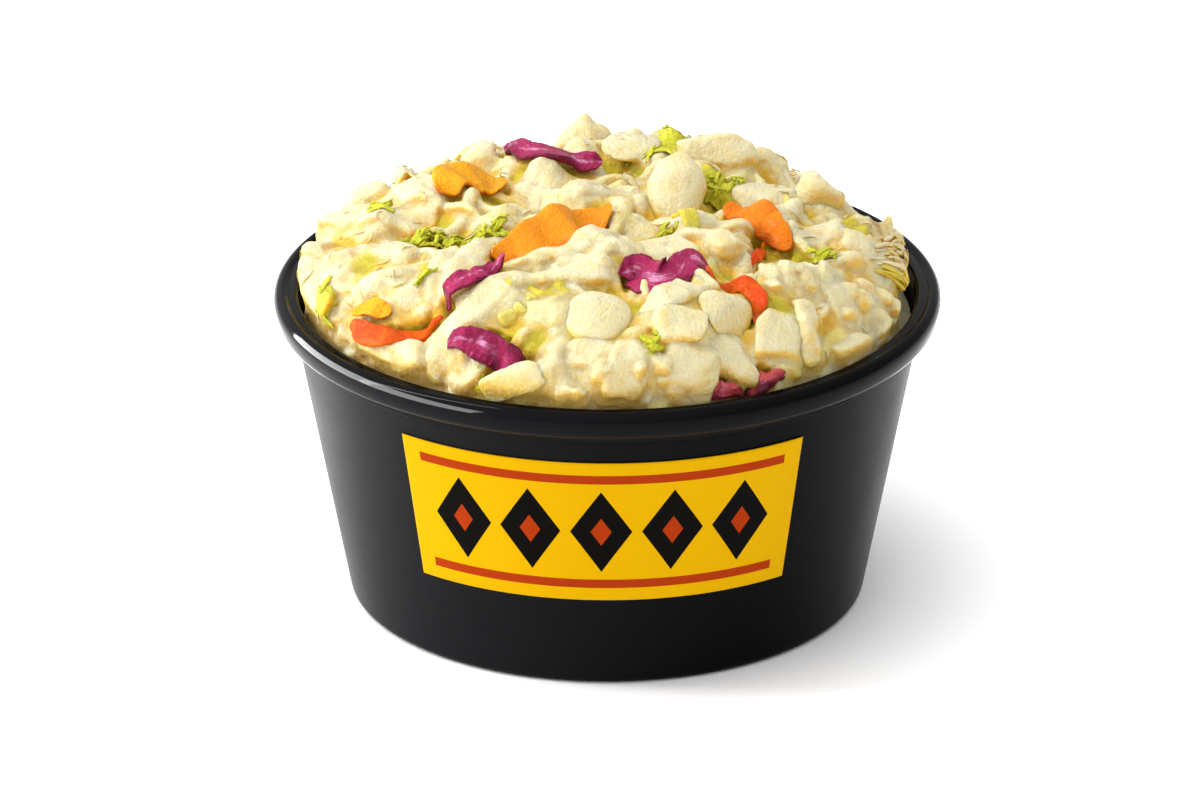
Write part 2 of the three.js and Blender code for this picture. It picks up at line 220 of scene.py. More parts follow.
# %% Wall material
# Seen from near, the textured wall breaks up what it mirrors, so the black looks deep and quiet.
GRAIN = 0.55  # the mould's texture, in millimetres
GRAIN_DEPTH = 0.06
HANDLING = 14  # patches that handling has rubbed a little smoother or duller

polypropylene, tree = new_material("Polypropylene, injection-moulded, black, fine grain")
place = add(tree, "ShaderNodeNewGeometry").outputs["Position"]
grain = add(tree, "ShaderNodeTexNoise", None, {
    "Vector": place, "Scale": 1 / (GRAIN * MM), "Detail": 3.0, "Roughness": 0.55})
bump = add(tree, "ShaderNodeBump", None, {
    "Height": grain.outputs["Fac"], "Strength": 0.25, "Distance": GRAIN_DEPTH * MM})
smear = add(tree, "ShaderNodeTexNoise", None, {"Vector": place, "Scale": 1 / (HANDLING * MM), "Detail": 2.0})
gloss = add(tree, "ShaderNodeMapRange", None, {
    "Value": smear.outputs["Fac"], "From Min": 0.3, "From Max": 0.7, "To Min": 0.26, "To Max": 0.33})
surface = add(tree, "ShaderNodeBsdfPrincipled", None, {
    "Base Color": linear("#070708"), "Roughness": gloss.outputs["Result"], "IOR": 1.49,
    "Specular IOR Level": 0.025, "Normal": bump.outputs["Normal"]})
add(tree, "ShaderNodeOutputMaterial", None, {"Surface": surface.outputs["BSDF"]})
print("material:", polypropylene.name)

# %% Rim material
# The polished bead mirrors what stands round it in long crisp lines, slightly wavy from the moulding.
RIM_WAVES = 3.5  # in millimetres
RIM_WAVE_DEPTH = 0.05
RIM_HEIGHT = 5.0  # how far the polished part reaches down from the top

polished, tree = new_material("Polypropylene, injection-moulded, black, polished")
place = add(tree, "ShaderNodeNewGeometry").outputs["Position"]
ripple = add(tree, "ShaderNodeTexNoise", None, {"Vector": place, "Scale": 1 / (RIM_WAVES * MM), "Detail": 2.0})
bump = add(tree, "ShaderNodeBump", None, {
    "Height": ripple.outputs["Fac"], "Strength": 0.2, "Distance": RIM_WAVE_DEPTH * MM})
surface = add(tree, "ShaderNodeBsdfPrincipled", None, {
    "Base Color": linear("#040405"), "Roughness": 0.07, "IOR": 1.49, "Specular IOR Level": 0.06,
    "Normal": bump.outputs["Normal"]})
add(tree, "ShaderNodeOutputMaterial", None, {"Surface": surface.outputs["BSDF"]})

finish_piece(cup, polypropylene, "cup")
cup.data.materials.append(polished)
for face in cup.data.polygons:
    if face.center.z > (CUP_HEIGHT - RIM_HEIGHT) * MM:
        face.material_index = 1
print("polished faces:", sum(face.material_index == 1 for face in cup.data.polygons))

# %% [markdown]
# ## The label
# The label is a printed film, stuck on the front of the cup. It is cut as a plain rectangle and follows the
# wall, so that its edges bow in the view from above. A grid bent round the wall makes it, with a thin edge
# all round. A map in millimetres goes with it, and the print is drawn on that map.

# %% Label surface
LABEL_LOW, LABEL_HIGH = 15.0, 39.0  # the heights of its lower and upper edge
LABEL_MIDDLE = math.radians(-1.2)
LABEL_SPREAD = math.radians(79.5)
LABEL_THICKNESS = 0.2
LABEL_GAP = 0.03  # the glue
LABEL_WIDTH = LABEL_SPREAD * wall_radius((LABEL_LOW + LABEL_HIGH) / 2)
LABEL_HEIGHT = LABEL_HIGH - LABEL_LOW


def label_point(u, v, lift):
    """A point of the label: u from 0 to 1 across it, v from 0 to 1 up it, and lift off the wall."""
    z = LABEL_LOW + LABEL_HEIGHT * v
    angle = LABEL_MIDDLE + (u - 0.5) * LABEL_SPREAD
    radius = wall_radius(z) + lift
    return (radius * math.sin(angle), -radius * math.cos(angle), z)


def sheet_faces(rows, columns):
    """Faces of a thin closed sheet: a grid of points, and then the same grid again for its other side."""
    count = rows * columns
    faces = []
    for row in range(rows - 1):
        for column in range(columns - 1):
            q = row * columns + column
            faces.append((q, q + 1, q + columns + 1, q + columns))
            faces.append((count + q, count + q + columns, count + q + columns + 1, count + q + 1))
    border = list(range(columns)) + [row * columns + columns - 1 for row in range(1, rows)]
    border += [(rows - 1) * columns + column for column in range(columns - 2, -1, -1)]
    border += [row * columns for row in range(rows - 2, 0, -1)]
    for here, after in zip(border, border[1:] + border[:1]):
        faces.append((after, here, count + here, count + after))
    return faces


print(f"label: {LABEL_WIDTH:.1f} x {LABEL_HEIGHT:.1f} mm")


# %% Make the label
def make_label(columns=120, rows=48):
    """The film's outer face, slightly rounded off at its edges, and its inner face."""
    inset = LABEL_THICKNESS / 3 / LABEL_WIDTH
    across = [0.0, inset, *np.linspace(0, 1, columns + 1)[1:-1], 1 - inset, 1.0]
    upward = [0.0, 2.5 * inset, *np.linspace(0, 1, rows + 1)[1:-1], 1 - 2.5 * inset, 1.0]
    top = LABEL_GAP + LABEL_THICKNESS
    points, maps = [], []
    for v in upward:
        for u in across:
            edge = u in (0.0, 1.0) or v in (0.0, 1.0)
            points.append(label_point(u, v, top * 0.75 if edge else top))
            maps.append(((u - 0.5) * LABEL_WIDTH, (v - 0.5) * LABEL_HEIGHT, 0))
    points += [label_point(u, v, LABEL_GAP) for v in upward for u in across]
    faces = sheet_faces(len(upward), len(across))
    return make_mesh("printed_label", points, faces, {"label_mm": maps + maps})


label = make_label()
print("points in the label:", len(label.data.vertices))

# %% [markdown]
# ## The label's print
# The print is three flat inks on a film: a yellow ground, black and a brick red. The pattern is a row of
# black lozenges with red middles between two red rules. A lozenge is where |x| / a + |y| / b is under one,
# and a rule is where |y| lies between two heights, so a few math nodes draw them with sharp edges.

# %% Sizes of the pattern, in millimetres
LOZENGES = 5
LOZENGE_PITCH = 10.6
LOZENGE_HALF_WIDTH = 4.6
LOZENGE_HALF_HEIGHT = 7.0
DOT_SHARE = 0.34  # the red middle, as a share of the lozenge
RULE_MIDDLE = 9.1
RULE_HALF_HEIGHT = 0.75
RULE_HALF_LENGTH = 27.5

LABEL_SUMS = [  # name, operation and terms: a name is an earlier sum
    ("off_middle", "ABSOLUTE", "x"),
    ("off_axis", "ABSOLUTE", "y"),
    ("shifted", "ADD", "x", 100 * LOZENGE_PITCH),  # so that it is never negative
    ("along", "PINGPONG", "shifted", LOZENGE_PITCH / 2),
    ("share_along", "DIVIDE", "along", LOZENGE_HALF_WIDTH),
    ("share_up", "DIVIDE", "off_axis", LOZENGE_HALF_HEIGHT),
    ("lozenge", "ADD", "share_along", "share_up"),
    ("in_row", "LESS_THAN", "off_middle", LOZENGES * LOZENGE_PITCH / 2),
    ("in_lozenge", "LESS_THAN", "lozenge", 1.0),
    ("black", "MULTIPLY", "in_lozenge", "in_row"),
    ("in_dot", "LESS_THAN", "lozenge", DOT_SHARE),
    ("dot", "MULTIPLY", "in_dot", "in_row"),
    ("over_rule", "SUBTRACT", "off_axis", RULE_MIDDLE),
    ("off_rule", "ABSOLUTE", "over_rule"),
    ("in_rule", "LESS_THAN", "off_rule", RULE_HALF_HEIGHT),
    ("in_length", "LESS_THAN", "off_middle", RULE_HALF_LENGTH),
    ("rule", "MULTIPLY", "in_rule", "in_length"),
    ("red", "MAXIMUM", "dot", "rule"),
]

print("sums in the label's pattern:", len(LABEL_SUMS))

# %% Draw the pattern
film, tree = new_material("Polypropylene label film, printed and varnished")
spot = add(tree, "ShaderNodeAttribute", {"attribute_name": "label_mm"}, None, "Vector")
axes = add(tree, "ShaderNodeSeparateXYZ", None, {"Vector": spot})
sums = {"x": axes.outputs["X"], "y": axes.outputs["Y"]}
for name, operation, *terms in LABEL_SUMS:
    values = {i: sums[term] if isinstance(term, str) else term for i, term in enumerate(terms)}
    sums[name] = add(tree, "ShaderNodeMath", {"operation": operation}, values, 0)
print("nodes so far:", len(tree.nodes))

# %% Label inks and varnish
# Flat inks under a thin varnish: the yellow is strong and even, and light slides over it in a soft sheen.
FILM_MOTTLE = 1.2  # uneven glue and ink, in millimetres
FILM_MOTTLE_DEPTH = 0.04

ink = linear("#cd9c00")
for mask, colour in (("black", "#0a0908"), ("red", "#9c3208")):
    ink = add(tree, "ShaderNodeMix", {"data_type": "RGBA"}, {0: sums[mask], 6: ink, 7: linear(colour)}, 2)
place = add(tree, "ShaderNodeNewGeometry").outputs["Position"]
mottle = add(tree, "ShaderNodeTexNoise", None, {
    "Vector": place, "Scale": 1 / (FILM_MOTTLE * MM), "Detail": 3.0})
ripple = add(tree, "ShaderNodeBump", None, {
    "Height": mottle.outputs["Fac"], "Strength": 0.12, "Distance": FILM_MOTTLE_DEPTH * MM})
surface = add(tree, "ShaderNodeBsdfPrincipled", None, {
    "Base Color": ink, "Roughness": 0.35, "IOR": 1.49, "Specular IOR Level": 0.02,
    "Normal": ripple.outputs["Normal"]})
add(tree, "ShaderNodeOutputMaterial", None, {"Surface": surface.outputs["BSDF"]})

finish_piece(label, film, "label")

# %% [markdown]
# ## The heap's form
# The slaw rises above the rim as a broad mound with full shoulders. One formula gives its mean surface, the
# same one that the frame's slaw follows, and every piece lies on it. A place in the heap is then three
# numbers: x and y in plan, and a lift along the surface's normal.

# %% Size of the heap and its sags, in millimetres
HEAP_RADIUS = 45.6
HEAP_LEAN = 0.7  # the mound stands a little to the left
HEAP_EDGE = 46.8  # its height at the wall
HEAP_RISE = 14.6
HEAP_SQUARENESS = 4.8  # a higher power gives fuller shoulders
DENTS = [  # places where the heap's shoulder sags: across, back, reach and depth
    (-24, 26, 5, 3.0), (-39, 20, 6, 2.2), (-14, 31, 4, 1.2), (-8, 31, 4.5, 1.8), (2, 31, 5, 1.6),
    (35, 19, 5, 2.6),
]
print(f"the mound rises {HEAP_EDGE + HEAP_RISE - CUP_HEIGHT:.1f} mm over the rim, before its pieces")


# %% Heap surface
def dents(x, y):
    total = 0.0
    for across, back, reach, depth in DENTS:
        total = total + depth * np.exp(-((x - across) ** 2 + (y - back) ** 2) / reach ** 2)
    return total


def lumps(x, y):
    fine = 0.7 * np.sin(x / 3.3 + 1.1) * np.cos(y / 3.9 - 0.4)
    broad = 0.5 * np.sin((x - 1.4 * y) / 5.1 + 2.3)
    return fine + broad


def heap_height(x, y):
    share = np.minimum(1.0, np.hypot(x + HEAP_LEAN, y) / HEAP_RADIUS)
    full = 1 - share ** HEAP_SQUARENESS
    return HEAP_EDGE + HEAP_RISE * full + lumps(x, y) * full - dents(x, y)


def heap_normal(x, y, step=0.8):
    slope_x = (heap_height(x + step, y) - heap_height(x - step, y)) / (2 * step)
    slope_y = (heap_height(x, y + step) - heap_height(x, y - step)) / (2 * step)
    normal = np.stack([-slope_x, -slope_y, np.ones_like(slope_x)], -1)
    return normal / np.linalg.norm(normal, axis=-1, keepdims=True)


def on_heap(x, y, lift):
    base = np.stack([x, y, heap_height(x, y)], -1)
    return base + heap_normal(x, y) * np.asarray(lift)[..., None]


print("heap at its middle:", round(float(heap_height(0.0, 0.0)), 1), "mm up")

# %% [markdown]
# ## Places as they look from the front
# It is easier to say how a piece looks from the front than where it lies in plan. So a place may be given as
# so far across and up, as a person at the table sees it. Walking from the front edge to the back, the first
# point of the heap that appears that high is the place.

# %% Find a place by how it looks
LOOKING_DOWN = math.radians(22.97)  # how steeply a person at the table looks down on the cup
EYE_LEVEL = 46.5  # a height of nought is here, over the cup's middle
TOP_LIFT = 0.7  # the loose top lies a little over the heap's mean surface


def seen_place(across, up):
    """The plan place where a line of sight meets the heap: so far across and up, in millimetres."""
    half = math.sqrt(max(HEAP_RADIUS ** 2 - (across + HEAP_LEAN) ** 2, 1.0))
    y = np.linspace(-half, half, 400)
    height = heap_height(across, y) - lumps(across, y) + TOP_LIFT
    shown = (height - EYE_LEVEL) * math.cos(LOOKING_DOWN) + y * math.sin(LOOKING_DOWN)
    crest = int(np.argmax(shown))
    reached = np.nonzero(shown[:crest + 1] >= up)[0]
    return across, float(y[reached[0]] if len(reached) else y[crest])


print("the front rim is met at", [round(float(v), 1) for v in seen_place(0, -16)])

# %% [markdown]
# ## Letting pieces settle
# Real shreds were tossed and then dropped in a pile, and each one lies on those below it. A small height map
# over the plan does the same here: it remembers how high the pile has grown at each place. A new piece reads
# the map under itself, rests there with a little sinking for the dressing, and writes its own top back.

# %% The pile's height map
CELL = 0.4
SPAN = 125  # cells from the middle to each side
random = np.random.default_rng(20)  # seeded, so that each run tosses the slaw in the same way


def cells(x, y):
    """The map's cells under some places."""
    columns = np.clip(np.round(np.asarray(x) / CELL).astype(int) + SPAN, 0, 2 * SPAN)
    rows = np.clip(np.round(np.asarray(y) / CELL).astype(int) + SPAN, 0, 2 * SPAN)
    return rows, columns


def pile_at(x, y):
    return pile[cells(x, y)]


def raise_pile(x, y, top):
    np.maximum.at(pile, cells(x, y), top)


print("cells in the height map:", (2 * SPAN + 1) ** 2)

# %% Gaps at the wall
GAPS = [(2.60, 0.30, 3.0), (0.15, 0.40, 1.6)]  # where slaw stays off the wall: direction, spread, distance


def off_wall(x, y):
    """How far the slaw stays off the wall in the direction of each place."""
    apart = 0.0
    for direction, spread, distance in GAPS:
        turn = np.abs(np.arctan2(y, x) - direction)
        apart = apart + distance * np.exp(-(np.minimum(turn, 2 * math.pi - turn) / spread) ** 2)
    return apart


def keep_inside(x, y, inset):
    """Pulls plan places that are too near the wall back towards the middle."""
    reach = np.hypot(x, y)
    scale = np.minimum(1.0, (HEAP_RADIUS - inset - off_wall(x, y)) / np.maximum(reach, 1e-6))
    return x * scale, y * scale


print("gaps at the wall:", len(GAPS))

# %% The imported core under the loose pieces
BARE_OUT = (0, 30, 39, HEAP_RADIUS)  # how far out from the middle
BARE_LIFTS = (-5.3, -5.9, -6.4, -2.9)  # how far the core lies from the heap's mean surface there
GAP_START, GAP_REACH, GAP_MOST = 32, 8, 1.2  # towards a gap the core sinks from here on, over this far


def bare_lift(x, y):
    reach = np.hypot(x, y)
    sinking = off_wall(x, y) * np.clip((reach - GAP_START) / GAP_REACH, 0, GAP_MOST)
    return np.interp(reach, BARE_OUT, BARE_LIFTS) - sinking


ticks = (np.arange(2 * SPAN + 1) - SPAN) * CELL
pile = bare_lift(*np.meshgrid(ticks, ticks))
print(f"the core starts {-pile[SPAN, SPAN]:.1f} mm under the mean surface at the middle")


# %% Directions on the slope, and slack sheets
def tangents(x, y):
    """Two directions along the heap's surface at one place, and the normal."""
    normal = heap_normal(np.array(x, float), np.array(y, float))
    east = np.cross([0, 1, 0], normal)
    east /= np.linalg.norm(east)
    return east, np.cross(normal, east), normal


def settle(rest, rigid, slack):
    """A slack sheet or string over some heights: it touches the high places and spans the low ones."""
    lift = rest.copy()
    for _ in range(rigid):
        padded = np.pad(lift, 1, mode="edge")
        if lift.ndim == 1:
            mean = (padded[:-2] + padded[2:]) / 2
        else:
            mean = (padded[:-2, 1:-1] + padded[2:, 1:-1] + padded[1:-1, :-2] + padded[1:-1, 2:]) / 4
        lift = np.maximum(rest, mean - slack)
    return lift


def smoothed(values, reach):
    """The mean of each value and its neighbours, as many as reach on each side."""
    window = np.ones(2 * reach + 1) / (2 * reach + 1)
    return np.convolve(np.pad(values, reach, mode="edge"), window, "valid")


def blurred(field, reach):
    """Mean of a field over a square window, twice, which is close to a round blur."""
    for _ in range(2):
        field = np.apply_along_axis(smoothed, 1, field, reach)
        field = np.apply_along_axis(smoothed, 0, field, reach)
    return field


print("a slack string over one bump:", np.round(settle(np.array([0, 0, 2.0, 0, 0]), 2, 0.1), 1))

# %% [markdown]
# ## Natural unevenness
# Nothing cut from a leaf is straight or smooth. Two small functions give the unevenness: one along a line,
# and one through space. Both are sums of a few sine waves with seeded phases, so that each run is the same.

# %% Unevenness
def wobble(values, pitch, seed):
    """Smooth variation from about -1 to 1 along a line."""
    total = 0.0
    for k, (speed, weight) in enumerate([(1.0, 0.5), (1.62, 0.3), (2.71, 0.2)]):
        total = total + weight * np.sin(2 * math.pi * values * speed / pitch + seed * (3.1 + 1.7 * k) + k)
    return total


def waves(points, size, seed, count=6):
    """Smooth relief from -1 to 1 through space, in lumps of about the given size."""
    choice = np.random.default_rng(int(seed * 1000) + 7)
    total = np.zeros(len(points))
    for _ in range(count):
        direction = choice.normal(size=3)
        direction /= np.linalg.norm(direction)
        turns = points @ direction * 2 * math.pi / (size * choice.uniform(0.7, 1.5))
        total += np.sin(turns + choice.uniform(0, 6))
    return total / count ** 0.5


print("wobble at 0, 1 and 2 mm:", [round(float(wobble(v, 4.0, 1.0)), 2) for v in (0.0, 1.0, 2.0)])

# %% [markdown]
# ## Strips
# Ribbons of leaf, sticks of rib, carrot and red cabbage are all strips: a rounded cross-section carried
# along a route. The route crosses the heap, and its height follows the pile like a slack string, so it
# bridges the gaps and bends over what lies below. Width, thickness, camber and twist change along the way,
# because a knife cuts leaves that were never flat.

# %% Routes of strips
def route_through(places, stations=24):
    """A smooth route in plan through places given as they look from the front."""
    stops = np.array([seen_place(*place) for place in places])
    legs = np.concatenate([[0], np.cumsum(np.linalg.norm(np.diff(stops, axis=0), axis=1))])
    t = np.linspace(0, legs[-1], 4 * stations)
    reach = max(1, int(1.3 * stations / len(stops)))
    route = [smoothed(np.interp(t, legs, stops[:, k]), reach) for k in (0, 1)]
    picks = np.linspace(0, len(t) - 1, stations).astype(int)
    return route[0][picks], route[1][picks]


def route_wandering(x, y, heading, length, bend, stations=17):
    """Walks both ways from the middle, with steps of equal length on the slope."""
    step = length / (stations - 1)
    phase = random.uniform(0, 6)
    sides = []
    for sign in (1, -1):
        px, py, turn = x, y, heading
        side = []
        for i in range(stations // 2):
            turn += sign * (bend + 0.05 * math.sin(0.9 * i * sign + phase)) * step
            dx, dy = sign * math.cos(turn), sign * math.sin(turn)
            rise = float(heap_height(px + 0.5 * dx, py + 0.5 * dy) - heap_height(px, py)) / 0.5
            px += dx * step / math.hypot(1, rise)
            py += dy * step / math.hypot(1, rise)
            side.append((px, py))
        sides.append(side)
    points = np.array([*reversed(sides[1]), (x, y), *sides[0]])
    return points[:, 0], points[:, 1]


print("a route from 5 mm left starts at", [round(float(v[0]), 1) for v in route_through([(-5, 0), (5, 0)])])


# %% Lay a strip on the pile
def grid_faces(rows, columns):
    """Quads between rows of points whose last column joins the first."""
    faces = []
    for i in range(rows - 1):
        for j in range(columns):
            k = (j + 1) % columns
            faces.append((i * columns + j, (i + 1) * columns + j, (i + 1) * columns + k, i * columns + k))
    return faces


def lie_on_pile(x, y, across, width, thickness, sink, slack, rigid):
    """How high a strip lies along its route, and how much it leans with the pile. It raises the pile too."""
    spread = np.linspace(-0.4, 0.4, 5)
    under = np.stack([pile_at(x + across[:, 0] * width * q, y + across[:, 1] * width * q)
                      for q in spread], 1)
    rest = np.sort(under, axis=1)[:, 1:4].mean(1)
    lift = smoothed(settle(rest, rigid, slack), 2) + thickness / 2 - sink
    roll = smoothed(np.arctan((under[:, 4] - under[:, 0]) / np.maximum(0.8 * width, 1.0)), 3) * 0.8
    for q in np.linspace(-0.5, 0.5, 17):
        top = lift + thickness / 2 * (1 - 0.8 * abs(2 * q) ** 3)
        raise_pile(x + across[:, 0] * width * q, y + across[:, 1] * width * q, top)
    return lift, roll


print("faces of a ring of 14 points along 25 stations:", len(grid_faces(25, 14)))


# %% Strip builder
# sink is how deep the strip lies in the dressing, blunt and end_size shape its ends, lean and twist turn its
# cross-section, camber bows it, and frill and relief make its edges and its faces uneven.
def strip(x, y, width, thickness, stations=25, sides=14, sink=0.5, slack=0.04, rigid=30, blunt=8.0,
          end_size=0.2, square=0.75, twist=0.0, lean=0.0, camber=0.12, frill=0.06, frill_pitch=4.0,
          relief=0.04, profile=(1.0, 1.0), inset=1.3):
    """A closed strip along a route in plan. Returns points, faces and the grain map."""
    x, y = keep_inside(x, y, inset)
    t = np.linspace(0, 1, stations)
    t = 0.5 * t + 0.25 * (1 - np.cos(math.pi * t))  # stations crowd towards the ends, which round off
    x = np.interp(t, np.linspace(0, 1, len(x)), x)
    y = np.interp(t, np.linspace(0, 1, len(y)), y)
    width = width * smoothed(np.interp(t, np.linspace(0, 1, len(profile)), profile), 2)
    normal = heap_normal(x, y)
    flat = on_heap(x, y, np.zeros_like(x))
    along = np.gradient(flat, axis=0)
    along /= np.linalg.norm(along, axis=1, keepdims=True)
    across = np.cross(along, normal)
    across /= np.linalg.norm(across, axis=1, keepdims=True)
    lift, roll = lie_on_pile(x, y, across, width, thickness, sink, slack, rigid)
    centre = on_heap(x, y, lift)
    length = np.concatenate([[0], np.cumsum(np.linalg.norm(np.diff(centre, axis=0), axis=1))])
    seed = random.uniform(0, 50)
    taper = np.maximum((1 - np.abs(2 * t - 1) ** blunt) ** 0.5, end_size)
    uneven = 1 + frill * wobble(length, frill_pitch, seed)
    uneven_left = 1 + frill * wobble(length, frill_pitch, seed + 9)
    angle = np.linspace(0, 2 * math.pi, sides, endpoint=False)
    side = np.sign(np.cos(angle)) * np.abs(np.cos(angle)) ** square
    rise = np.sign(np.sin(angle)) * np.abs(np.sin(angle)) ** square
    wide = 0.5 * (width * taper)[:, None] * np.where(side > 0, uneven[:, None], uneven_left[:, None])
    thick = 0.5 * thickness * np.maximum(taper, 0.45) * (1 + 0.15 * wobble(length, 7.0, seed + 4))
    s = wide * side
    curl = np.where(side > 0, *(wobble(length, 9.0, seed + k)[:, None] for k in (0, 5)))
    w = thick[:, None] * rise + (camber * (side ** 2 - 0.4) + frill * curl * side ** 2) * width[:, None]
    phi = (roll + lean + twist * (t - 0.5))[:, None]
    s, w = s * np.cos(phi) - w * np.sin(phi), s * np.sin(phi) + w * np.cos(phi)
    offset = across[:, None] * s[..., None] + normal[:, None] * w[..., None]
    points = (centre[:, None] + offset).reshape(-1, 3)
    offset = offset.reshape(-1, 3)
    outward = offset / np.maximum(np.linalg.norm(offset, axis=1), 0.2)[:, None]
    grain = np.stack([0.5 * width[:, None] * np.broadcast_to(side, s.shape),
                      np.broadcast_to(length[:, None] + 40 * seed, s.shape),
                      np.broadcast_to(side, s.shape)], -1).reshape(-1, 3)
    lumpy = waves(grain * [1, 0.5, 0], 2.2, seed) + 0.6 * waves(grain * [1, 0.6, 0], 1.0, seed + 1)
    points += outward * (relief * thickness * lumpy)[:, None]
    faces = grid_faces(stations, sides)
    faces.append(tuple(range(sides)))
    faces.append(tuple(reversed(range((stations - 1) * sides, stations * sides))))
    return points, faces, grain


print("a strip has", 25 * 14, "points, unless it says otherwise")

# %% [markdown]
# ## Chunks
# The thick ribs and the heart of a cabbage chop into chunks. A chunk starts as a ball of points, which is
# made squarer, then cut flat on a few sides as a knife does, and roughened a little.

# %% Ball of points
def ball_of_points(steps, rings):
    tau = np.linspace(0, math.pi, rings + 1)[1:-1]
    phi = np.linspace(0, 2 * math.pi, steps, endpoint=False)
    grid = [(math.sin(a) * math.cos(b), math.sin(a) * math.sin(b), math.cos(a)) for a in tau for b in phi]
    points = np.array([*grid, (0, 0, 1), (0, 0, -1)])
    faces = grid_faces(rings - 1, steps)
    top, bottom = len(points) - 2, len(points) - 1
    last = (rings - 2) * steps
    faces += [(top, i, (i + 1) % steps) for i in range(steps)]
    faces += [(bottom, last + (i + 1) % steps, last + i) for i in range(steps)]
    return points, faces


def turning(heading, pitch, roll):
    ch, sh, cp, sp, cr, sr = (f(a) for a in (heading, pitch, roll) for f in (math.cos, math.sin))
    about_z = np.array([[ch, -sh, 0], [sh, ch, 0], [0, 0, 1]])
    about_y = np.array([[cp, 0, sp], [0, 1, 0], [-sp, 0, cp]])
    about_x = np.array([[1, 0, 0], [0, cr, -sr], [0, sr, cr]])
    return about_z @ about_y @ about_x


print("points in a small ball:", len(ball_of_points(26, 18)[0]))


# %% Chunk builder
# square under one makes the ball boxier, layers are the edges of leaves packed in the heart, and point
# narrows one end.
def chunk(x, y, size, heading=0.0, tilt=(0.0, 0.0), sink=0.9, square=0.75, rough=0.05, cuts=4,
          layers=0.02, point=0.0, detail=(26, 18)):
    """A chopped chunk on the pile. Returns points, faces and the grain map."""
    points, faces = ball_of_points(*detail)
    seed = random.uniform(0, 50)
    points = np.sign(points) * np.abs(points) ** square
    for _ in range(cuts):
        direction = random.normal(size=3)
        direction /= np.linalg.norm(direction)
        over = points @ direction - random.uniform(0.5, 0.8)
        points = points - np.outer(np.maximum(over, 0) * 0.9, direction)
    bumps = rough * waves(points, 1.2, seed) + 0.4 * rough * waves(points, 0.45, seed + 1)
    across_leaves = points @ random.normal(size=3) * 0.6 + 0.25 * waves(points, 1.5, seed + 2)
    bumps += layers * np.sin(2 * math.pi * across_leaves / 0.42)
    points[:, 0] *= 1 - point * np.clip(points[:, 1], 0, 1) ** 1.5
    points = points * (1 + bumps[:, None]) * np.array(size) / 2
    grain = np.column_stack([points[:, 0], points[:, 1] + 40 * seed, points[:, 2]])
    local = points @ turning(heading, *tilt).T
    east, north, normal = tangents(x, y)
    offset = np.outer(local[:, 0], east) + np.outer(local[:, 1], north)
    px, py = x + offset[:, 0], y + offset[:, 1]
    low = local[:, 2] < np.median(local[:, 2])
    rest = np.percentile((pile_at(px, py) - local[:, 2])[low], 70) - sink
    raise_pile(px[~low], py[~low], np.minimum(local[~low, 2], 2.5) + rest)
    centre = on_heap(np.array(x), np.array(y), np.array(rest))
    return centre + offset + np.outer(local[:, 2], normal), faces, grain


print("faces of a chunk with more detail:", len(ball_of_points(40, 28)[1]))

# %% [markdown]
# ## Leaf pieces
# Thin parts of the leaf, wet with dressing, lie over the pile as a wet cloth does. A grid of points is laid
# over the plan, sags between the high places, and lifts again here and there at its torn edge.

# %% Leaf builder
# lobes are the dents of its torn outline, curl lifts its edge and ruffle waves its face.
def leaf(x, y, size, heading=0.0, thickness=1.0, sink=0.1, slack=0.05, rigid=12, lobes=0.1, curl=0.5,
         ruffle=0.2, detail=(22, 18)):
    """A thin piece of leaf over the pile. Returns points, faces and the grain map."""
    columns, rows = detail
    u, v = np.meshgrid(np.linspace(-1, 1, columns), np.linspace(-1, 1, rows))
    seed = random.uniform(0, 50)
    ex = u * (0.35 + 0.65 * np.sqrt(1 - 0.5 * v ** 2))
    ey = v * (0.35 + 0.65 * np.sqrt(1 - 0.5 * u ** 2))
    around = np.arctan2(ey, ex)
    edge = np.maximum(np.abs(u), np.abs(v))
    ragged = 1 + lobes * wobble(around, 2.1, seed) + 0.4 * lobes * wobble(around, 0.45, seed + 3) * edge
    ch, sh = math.cos(heading), math.sin(heading)
    lx, ly = ex * ragged * size[0] / 2, ey * ragged * size[1] / 2
    east, north, _ = tangents(x, y)
    a, b = lx * ch - ly * sh, lx * sh + ly * ch
    px, py = keep_inside(x + a * east[0] + b * north[0], y + a * east[1] + b * north[1], 0.6)
    lift = settle(pile_at(px, py), rigid, slack)
    for _ in range(2):
        padded = np.pad(lift, 1, mode="edge")
        beside = padded[:-2, 1:-1] + padded[2:, 1:-1] + padded[1:-1, :-2] + padded[1:-1, 2:]
        lift = (beside + 2 * lift) / 6
    lift = lift - sink + curl * edge ** 4 * np.maximum(wobble(around, 3.3, seed + 6), -0.1)
    lift = lift + ruffle * wobble(lx + 0.4 * ly, 5.5, seed) + 0.15 * ruffle * wobble(ly, 1.6, seed + 2)
    thick = thickness * (1 - 0.55 * edge ** 5)
    raise_pile(px, py, lift + thick)
    top = on_heap(px, py, lift + thick).reshape(-1, 3)
    bottom = on_heap(px, py, lift).reshape(-1, 3)
    grain = np.column_stack([lx.ravel(), ly.ravel() + 40 * seed, u.ravel()])
    return np.concatenate([top, bottom]), sheet_faces(rows, columns), np.concatenate([grain, grain])


print("faces of a leaf piece:", len(sheet_faces(18, 22)))

# %% [markdown]
# ## Gathering pieces of a kind
# Pieces of one kind become one mesh. A gatherer holds their points and faces until the kind is complete. It
# then keeps them clear of the cup, and notes how deep each point lies in the heap and under its nearest
# pieces, so that the materials can paint shade into hollows and creases, darker and yellower than what stands
# out.

# %% Keep clear of the cup
HEAP_TOP = 66.0
EDGE_SPILL = 0.9  # how far the slaw may reach out above the rim's inner edge
EASING = 2.5  # points this near a limit are slowed down, so that nothing is cut off flat


def eased(values, start, limit):
    """Leaves values under start alone and eases larger ones towards the limit, which they never reach."""
    room = limit - start
    return np.where(values > start, start + room * np.tanh((values - start) / room), values)


